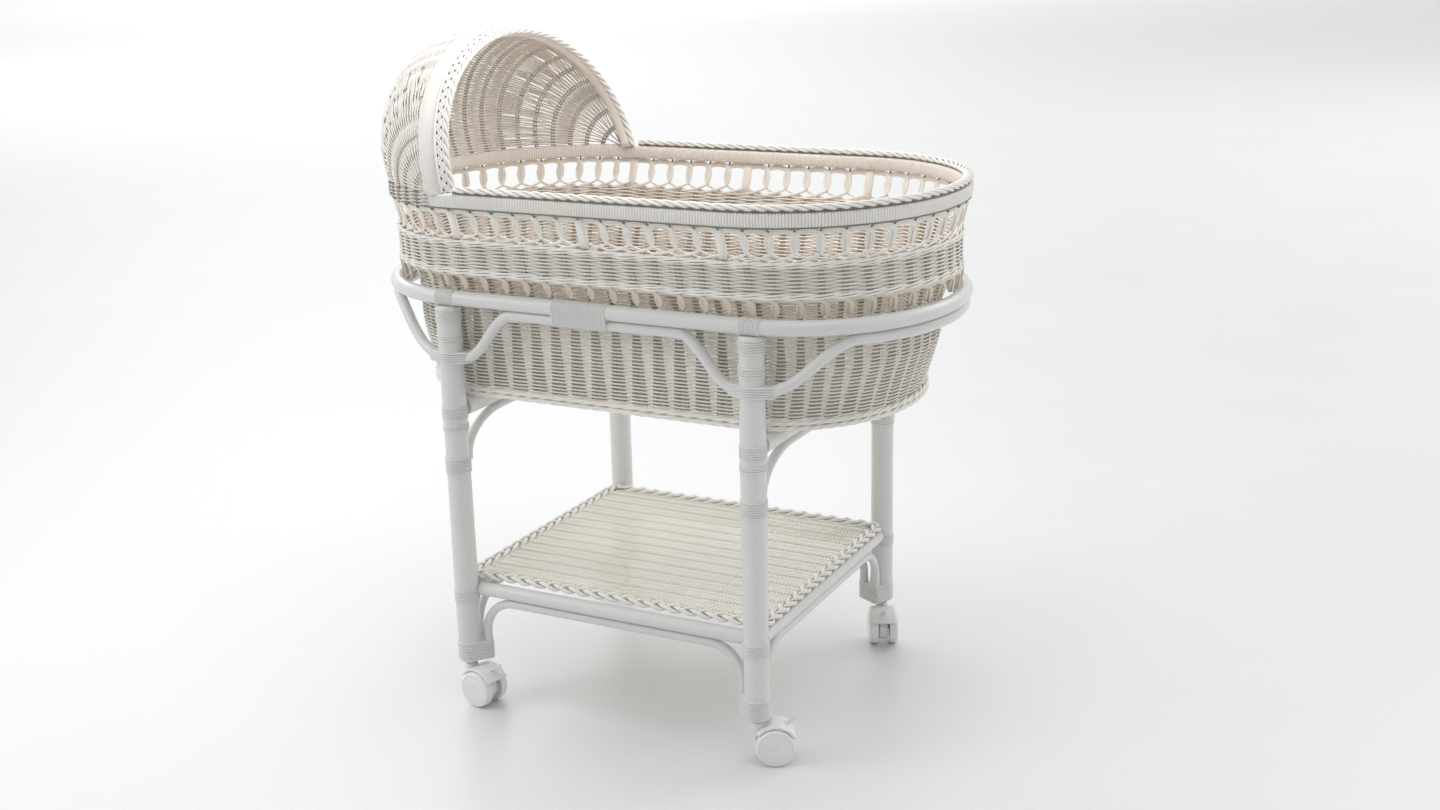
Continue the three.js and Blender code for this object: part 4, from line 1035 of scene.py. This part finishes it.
class BASSINET_OT_rim(Operator):
    """Wrap the rim rail and twist the braid on it"""

    bl_idname = "bassinet.rim"
    bl_label = "Rim"

    def execute(self, context):
        oval, low, high = box_plan("rim_rail")
        plan, depth, thick, wraps = (*oval, low.z), high.z - low.z, 14 * MM, 560
        section = ((0, 4), (0, 14), (1.2, 17), (3.5, 18), (10.5, 18), (12.8, 17), (14, 14), (14, 4),
                   (12.8, 1), (10.5, 0), (3.5, 0), (1.2, 1))
        stations = (np.arange(wraps)[:, None] + np.array((0.0, 0.16, 0.84))).ravel() * CELLS / wraps
        grooves = np.tile((1.3 * MM, 0.0, 0.0), wraps)
        hooded = (stations > hood_foot_station(1.0)) & (stations < hood_foot_station(0.0))
        columns = []
        for inward, up in section:
            lift = (up * MM - depth / 2) * (1 - grooves / (9 * MM)) + depth / 2
            out = -thick / 2 - (inward * MM - thick / 2) * (1 - grooves / (7 * MM))
            if inward < 7:
                out -= hooded * 2.4 * MM
            columns.append(beside(plan, stations, out, lift))
        basket_piece("rim_wrapped_rail", loft(np.stack(columns, axis=1), True), "rim_cane", "rim_rail")
        low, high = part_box("rim_braid")
        start = (low.x + STRAIGHT) / (2 * STRAIGHT) * SIDE_CELLS
        end = 2 * SIDE_CELLS + END_CELLS - start
        top = (*oval, low.z)
        strands = twisted(top, np.linspace(start, end, 700), strands=4, pitch=-2.1, across=5.0 * MM,
                          high=2.5 * MM, out=-6.5 * MM, up=4.5 * MM)
        basket_piece("rim_twist", canes(strands, 1.95 * MM, 8), "edge_cane", "rim_braid")
        # Dark canes that paint the shade of slits: under the twist, and between the rail and the openwork
        slits = canes([beside(top, np.linspace(start, end, 400), -out * MM, up * MM)
                       for out, up in ((2.6, 1.4), (10.4, 1.4), (4.6, 4.0), (8.4, 4.0))], 1.3 * MM, 6)
        under = canes([beside(plan, all_round(6 * CELLS), -2.2 * MM, -0.2 * MM)], 1.0 * MM, 6, True)
        basket_piece("rim_slits", joined([slits, under]), "tie_and_shade_cane")
        return {"FINISHED"}


def round_arch(out, back, count):
    """Turns round the hood's arch, from rim to rim, for a line at this place over it."""
    foot = arch_foot_turn(out * MM, back * MM)
    return np.linspace(foot, np.pi - foot, count)


def along_arch(out, back, count=160):
    turns = round_arch(out, back, count)
    return on_arch(turns, out * MM + 0 * turns, back * MM + 0 * turns)


def arch_band(section, count, groove=0.0):
    """A band over the arch from a section of (out, back) pairs, with a groove at every other station."""
    turns = round_arch(*section[0], count)
    grooves = np.where(np.arange(count) % 2, 0.0, groove * MM)
    columns = [on_arch(turns, out * MM - grooves, back * MM + 0 * turns) for out, back in section]
    return loft(np.stack(columns, axis=1))


class BASSINET_OT_hood_front(Operator):
    """Make the hood's rolled edge, its plait, its wrapped band and the band inside"""

    bl_idname = "bassinet.hood_front"
    bl_label = "Hood front"

    def execute(self, context):
        turns, laps = round_arch(5, -1.6, 700), 14
        phases = [2 * np.pi * (turns / math.pi * laps + k / 3) for k in range(3)]
        twist = [on_arch(turns, (4.9 + 2.5 * np.cos(phase)) * MM, (-1.5 + 2.5 * np.sin(phase)) * MM)
                 for phase in phases]
        edge = joined([canes(twist, 2.3 * MM, 8), canes([along_arch(8.8, -0.6)], 1.6 * MM, 8),
                       canes([along_arch(15.6, 6.6)], 1.8 * MM, 8)])
        basket_piece("hood_roll", edge, "edge_cane", "hood_edge")
        # A near-black cane inside the twisted roll paints the shade between its strands
        basket_piece("hood_roll_shade", canes([along_arch(4.9, -1.5)], 2.2 * MM, 8), "shade_cane")
        inner = arch_band(((0, 1), (0, 13), (0.4, 14), (3.5, 14), (3.5, 1)), 81)
        inner_piece("hood_inner_band", inner, "hood_arch")
        turns, arch_length, zigzag = round_arch(12, 3, 900), 665, 15.4
        lace = []
        for k in range(2):
            step = turns / math.pi * arch_length / zigzag + 0.33 * k
            across = 3.0 * MM * (2 * abs(2 * (step - np.floor(step)) - 1) - 1)
            lace.append(on_arch(turns, 12.1 * MM + 0.66 * across, 2.9 * MM + 0.75 * across))
        basket_piece("hood_lace", canes(lace, 1.9 * MM, 6), "edge_cane", "hood_openwork")
        # A near-black sheet behind the lace paints the shade seen between its strands
        lace_shade_sheet = arch_band(((7.2, 0), (14.4, 8.2), (13.4, 9.2), (6.2, 1)), 81)
        basket_piece("hood_lace_shade", lace_shade_sheet, "shade_cane")
        wrapped = arch_band(
            ((15.4, 7), (16.4, 6.6), (22.2, 22), (22.8, 24.4), (20.0, 25.6), (14.6, 9)), 500, 0.55)
        ridge = along_arch(21.2, 25.6)
        ridge[:, 1] = np.clip(ridge[:, 1], cad_low[1] + 2.1 * MM, cad_high[1] - 2.1 * MM)
        basket_piece("hood_wrapped_band", joined([wrapped, canes([ridge], 2 * MM, 8)]), "rim_cane")
        rows = [along_arch(14.0 + 5.6 * share, 10.0 + 15.4 * share) for share in np.linspace(0, 1, 8)]
        inner_piece("hood_inner_rows", canes(rows, 1.25 * MM, 6))
        return {"FINISHED"}


class BASSINET_OT_hood_shell(Operator):
    """Weave the hood's shell"""

    bl_idname = "bassinet.hood_shell"
    bl_label = "Hood shell"

    def execute(self, context):
        weave = context.scene.bassinet_weave
        oval, low, high = box_plan("rim_rail")
        rim, spans, arch_length = (*oval, high.z), 24, 650 * MM
        rows = np.linspace(0, 1, 22)
        stakes = [on_hood(k / spans + side * 1.8 * MM / arch_length + 0 * rows, rows, 0 * rows, rim)
                  for k in range(1, spans) for side in (-1, 1)]
        basket_piece("hood_stakes", canes(stakes, weave.stake_radius * 0.9, 6), "soft_cane")
        # Rows drop out towards the feet of the arch, where the shell gets short
        lengths = []
        for k in range(spans + 1):
            line = on_hood(k / spans + 0 * rows, rows, 0 * rows, rim)
            lengths.append(np.linalg.norm(np.diff(line, axis=0), axis=1).sum())
        count = int(max(lengths) / weave.weft_pitch)
        swing = 2 * weave.weft_radius * HOOD_SWING
        passes = [0] * (spans + 1)
        wefts = []
        for row in range(1, count):
            # A row that is one of every 2, 4, 8 ends where rows get closer than its own limit
            step = row & -row
            limit = dice.uniform(0.53, 0.72) * weave.weft_pitch
            points = []
            for k in (k for k, length in enumerate(lengths) if length / count * step >= limit):
                side = (1 if (k + passes[k]) % 2 else -1) * dice.uniform(0.9, 1.06)
                passes[k] += 1
                points += [((k + 0.9 * share) / spans, side * amount * swing)
                           for share, amount in zip(PASS_SHARES, PASS_SWING_SHARES)
                           if 0 <= k + 0.9 * share <= spans]
            if len(points) > 3:
                places, outs = np.array(points).T
                share = (row + dice.uniform(-0.1, 0.1)) / count
                wefts.append(on_hood(places, share + 0 * places, outs - 0.4 * MM, rim))
        self.over_rail(weave, (*oval, 0), low, high, hood_foot_station(np.arange(spans + 1) / spans), wefts)
        basket_piece("hood_wefts", canes(wefts, weave.weft_radius * HEAVY_WEFT), "hood_wicker", "hood_shell")
        return {"FINISHED"}

    @staticmethod
    def over_rail(weave, plan, low, high, feet, wefts):
        """Round the head end the hood's weave runs on down over the rim rail."""
        down = [beside(plan, foot + side * 0.07 + np.zeros(3), -1.4 * MM, np.linspace(low.z, high.z, 3))
                for foot in feet[1:-1] for side in (-1, 1)]
        basket_piece("hood_rail_stakes", canes(down, weave.stake_radius * 0.9, 6), "soft_cane")
        places = (feet[:, None] + 0.25 * np.array(PASS_SHARES)).ravel()
        for row in range(8):
            side = np.where((np.arange(len(feet)) + row) % 2, 1.0, -1.0)
            out = (side[:, None] * np.array(PASS_SWING_SHARES)).ravel() * 1.5 * MM - 1.5 * MM
            path = beside(plan, places, out, low.z + (row + 0.5) / 8 * (high.z - low.z))
            path[:, 1] = np.clip(path[:, 1], low.y + weave.weft_radius, high.y - weave.weft_radius)
            wefts.append(path)


def caster_matrix(corner):
    """Where a caster stands and the way it trails, from its wheel's joint."""
    joints = {joint["name"]: joint for joint in frame["joints"]}
    axis = joints[f"roll_left_{corner}"]["axis"]
    x, y, _ = joints[f"swivel_{corner}"]["pos_m"]
    return Matrix.Translation((x, y, 0)) @ Matrix.Rotation(math.atan2(-axis[0], axis[1]), 4, "Z")


class BASSINET_OT_casters(Operator):
    """Turn the wheels and mould the fenders and brake levers"""

    bl_idname = "bassinet.casters"
    bl_label = "Casters"

    def execute(self, context):
        hub = Matrix.Translation((TRAIL, 0, AXLE_HEIGHT)) @ Matrix.Rotation(-math.pi / 2, 4, "X")
        tread = ((4.2, 6.6), (4.2, 9), (23, 9), (24.6, 8.2), (25, 9.6), (25, 17.2), (24.4, 19.0), (23.0, 20.2),
                 (21.4, 20.6), (20.6, 20.1), (19.8, 20.3), (10, 20.55), (5.4, 20.6), (4.8, 20.2), (4.2, 20.4),
                 (0, 20.6))
        for corner in CORNERS:
            place = caster_matrix(corner)
            for side, name in ((1, "left"), (-1, "right")):
                disc = lathe([(r * MM, side * h * MM) for r, h in tread], 40, place @ hub)
                caster_piece(f"wheel_{name}_{corner}_disc", disc, f"wheel_{name}_{corner}",
                             f"caster_wheel_{name}_{corner}")
            caster_piece(f"caster_fork_{corner}", self.fork(place, hub), f"caster_{corner}",
                         f"caster_body_{corner}")
            caster_piece(f"brake_lever_{corner}", self.lever(place), f"brake_{corner}",
                         f"caster_brake_{corner}")
        return {"FINISHED"}

    @staticmethod
    def fork(place, hub):
        """The fender over the wheels, the web between them, the boss and the stem."""
        section = ((26.7, -18), (29.4, -17.6), (29.9, -15), (29.9, 15), (29.4, 17.6), (26.7, 18))
        fender = [[place @ Vector((TRAIL + r * MM * math.cos(angle), y * MM,
                                   AXLE_HEIGHT + r * MM * math.sin(angle))) for r, y in section]
                  for angle in np.linspace(math.radians(28), math.radians(142), 25)]
        web = ((0, -5.9), (18.4, -5.9), (19, -5.2), (19, 5.2), (18.4, 5.9), (0, 5.9))
        boss = ((0, 45), (8.2, 45), (9, 45.8), (9, 54.6), (8.2, 56), (4.3, 56), (4.3, 88), (0, 88))
        rib = [[place @ Vector((x * MM, y * MM, z * MM))
                for x, z in ((22, 25), (26, 51.5), (10, 49.5), (1, 42))] for y in (-5.5, 5.5)]
        return joined([loft(fender), lathe(scaled(web), 32, place @ hub), lathe(scaled(boss), 28, place),
                       loft(rib)])

    @staticmethod
    def lever(place):
        """The hub on the pin and the arm that a toe presses."""
        pivot = Matrix.Translation((35.19 * MM, 0, 49.81 * MM))
        turn = pivot @ Matrix.Rotation(math.radians(-36), 4, "Y")
        hub = ((0, -4.5), (2.9, -4.5), (3.3, -4.1), (3.3, 4.1), (2.9, 4.5), (0, 4.5))
        arm = []
        for x, half, thick in ((0, 3.6, 1.4), (8, 3.9, 1.5), (16, 4.3, 1.5), (20, 4.1, 1.4), (21.6, 3.2, 1.0),
                               (22.3, 2.0, 0.5)):
            ring = [(half * math.cos(a) * (abs(math.cos(a)) + 1e-9) ** -0.4, thick * math.sin(a))
                    for a in np.linspace(0, 2 * math.pi, 16, endpoint=False)]
            arm.append([place @ turn @ Vector((x * MM, max(-half, min(half, y)) * MM, z * MM))
                        for y, z in ring])
        pin = place @ pivot @ Matrix.Rotation(-math.pi / 2, 4, "X")
        return joined([lathe(scaled(hub), 20, pin), loft(arm)])


# Name, place, aim, size across and power of each studio light
LIGHTS = (
    ("top_light", (0.3, -0.4, 2.9), (0.1, 0.1, 0.5), 1.6, 13),
    ("shelf_light", (0.0, 0.0, 0.40), (0.0, 0.0, 0.0), 0.34, 0.10),
    ("hood_light", (0.05, -0.05, 1.2), (-0.33, 0.02, 0.78), 0.4, 1.3),
    ("foot_light", (2.7, -0.3, 1.1), (0.2, 0.0, 0.55), 1.5, 3.5),
    ("key_light", (-1.9, -1.5, 1.7), (0.0, 0.0, 0.2), 1.4, 12),
    ("window_light", (-3.2, 1.2, 2.8), (-1.0, 0.3, 0.2), 2.4, 9),
    ("far_light", (-8.0, 6.0, 5.0), (-8.0, 6.0, 0.0), 7.0, 165),
    ("right_light", (3.0, 6.0, 4.5), (3.0, 6.0, 0.0), 5.0, 135),
    ("farther_light", (-13.0, 19.0, 8.0), (-13.0, 19.0, 0.0), 14.0, 1000))


class BASSINET_OT_stage(Operator):
    """Set the pale floor, the studio lights and the camera"""

    bl_idname = "bassinet.stage"
    bl_label = "Studio"

    def execute(self, context):
        bm = bmesh.new()
        bmesh.ops.create_grid(bm, x_segments=2, y_segments=2, size=40)
        floor = bpy.data.objects.new("studio_floor", finished(bm, False))
        context.scene.collection.objects.link(floor)
        floor.data.materials.append(finish_of("studio_floor"))
        self.world(context)
        for name, place, aim, size, power in LIGHTS:
            lamp = bpy.data.lights.new(name, "AREA")
            lamp.shape, lamp.size, lamp.energy = "DISK", size, power
            light = bpy.data.objects.new(name, lamp)
            light.location = place
            light.rotation_euler = (Vector(aim) - light.location).to_track_quat("-Z", "Y").to_euler()
            light.visible_camera = False
            context.scene.collection.objects.link(light)
        self.camera(context)
        context.scene.view_settings.view_transform = "Standard"
        return {"FINISHED"}

    @staticmethod
    def world(context):
        """A studio that glows more at the far left and overhead, and is darker behind the camera."""
        world = bpy.data.worlds.new("studio")
        context.scene.world = world
        world.use_nodes = True
        tree = world.node_tree
        sky = add(tree, "ShaderNodeTexCoord").outputs["Generated"]
        glow = ranged(tree, vector(tree, "DOT_PRODUCT", sky, (-0.55, 0.5, 0.67)), [
            (-1, "From Min"), (1, "From Max"), (0.58, "To Min"), (0.90, "To Max")])
        dark = ranged(tree, vector(tree, "DOT_PRODUCT", sky, (0.45, -0.86, 0.24)), [
            (0.35, "From Min"), (1, "From Max"), (1, "To Min"), (0.5, "To Max")],
            interpolation_type="SMOOTHSTEP")
        background = tree.nodes["Background"]
        tree.links.new(product(tree, glow, dark), background.inputs["Strength"])
        background.inputs["Color"].default_value = (1, 1, 1, 1)

    @staticmethod
    def camera(context):
        """The camera as the photograph shows it: how far it is turned, looks down and leans, in degrees."""
        data = bpy.data.cameras.new("camera")
        data.sensor_width, data.lens = 36, 42.4
        camera = bpy.data.objects.new("camera", data)
        azimuth, down, roll = 27.07, 16.24, -1.23
        place = Matrix.Translation((1.0653, -1.9566, 1.0356))
        for angle, axis in ((azimuth, "Z"), (90 - down, "X"), (roll, "Z")):
            place @= Matrix.Rotation(math.radians(angle), 4, axis)
        camera.matrix_world = place
        context.scene.collection.objects.link(camera)
        context.scene.camera = camera


SETTINGS = {"bassinet_stand": StandSettings, "bassinet_weave": WeaveSettings,
            "bassinet_finish": FinishSettings}
STEPS = (
    BASSINET_OT_finishes, BASSINET_OT_legs, BASSINET_OT_hoop, BASSINET_OT_braces, BASSINET_OT_rails,
    BASSINET_OT_bindings, BASSINET_OT_shelf, BASSINET_OT_basket_wall, BASSINET_OT_basket_foot,
    BASSINET_OT_openwork, BASSINET_OT_skirt, BASSINET_OT_rim, BASSINET_OT_hood_front, BASSINET_OT_hood_shell,
    BASSINET_OT_casters, BASSINET_OT_stage)


class BASSINET_PT_panel(Panel):
    """The bassinet's steps and sizes"""

    bl_idname = "BASSINET_PT_panel"
    bl_label = "Bassinet"
    bl_space_type = "VIEW_3D"
    bl_region_type = "UI"
    bl_category = "Bassinet"

    def draw(self, context):
        for name in SETTINGS:
            group = getattr(context.scene, name)
            for key in group.bl_rna.properties.keys():
                if key not in ("rna_type", "name"):
                    self.layout.prop(group, key)
        for step in STEPS:
            self.layout.operator(step.bl_idname)


CLASSES = (*SETTINGS.values(), *STEPS, BASSINET_PT_panel)


def register():
    for cls in CLASSES:
        bpy.utils.register_class(cls)
    for name, settings in SETTINGS.items():
        setattr(bpy.types.Scene, name, PointerProperty(type=settings))


def unregister():
    for name in SETTINGS:
        delattr(bpy.types.Scene, name)
    for cls in reversed(CLASSES):
        bpy.utils.unregister_class(cls)


def main():
    register()
    for step in STEPS:
        group, name = step.bl_idname.split(".")
        getattr(getattr(bpy.ops, group), name)()


if __name__ == "__main__":
    main()
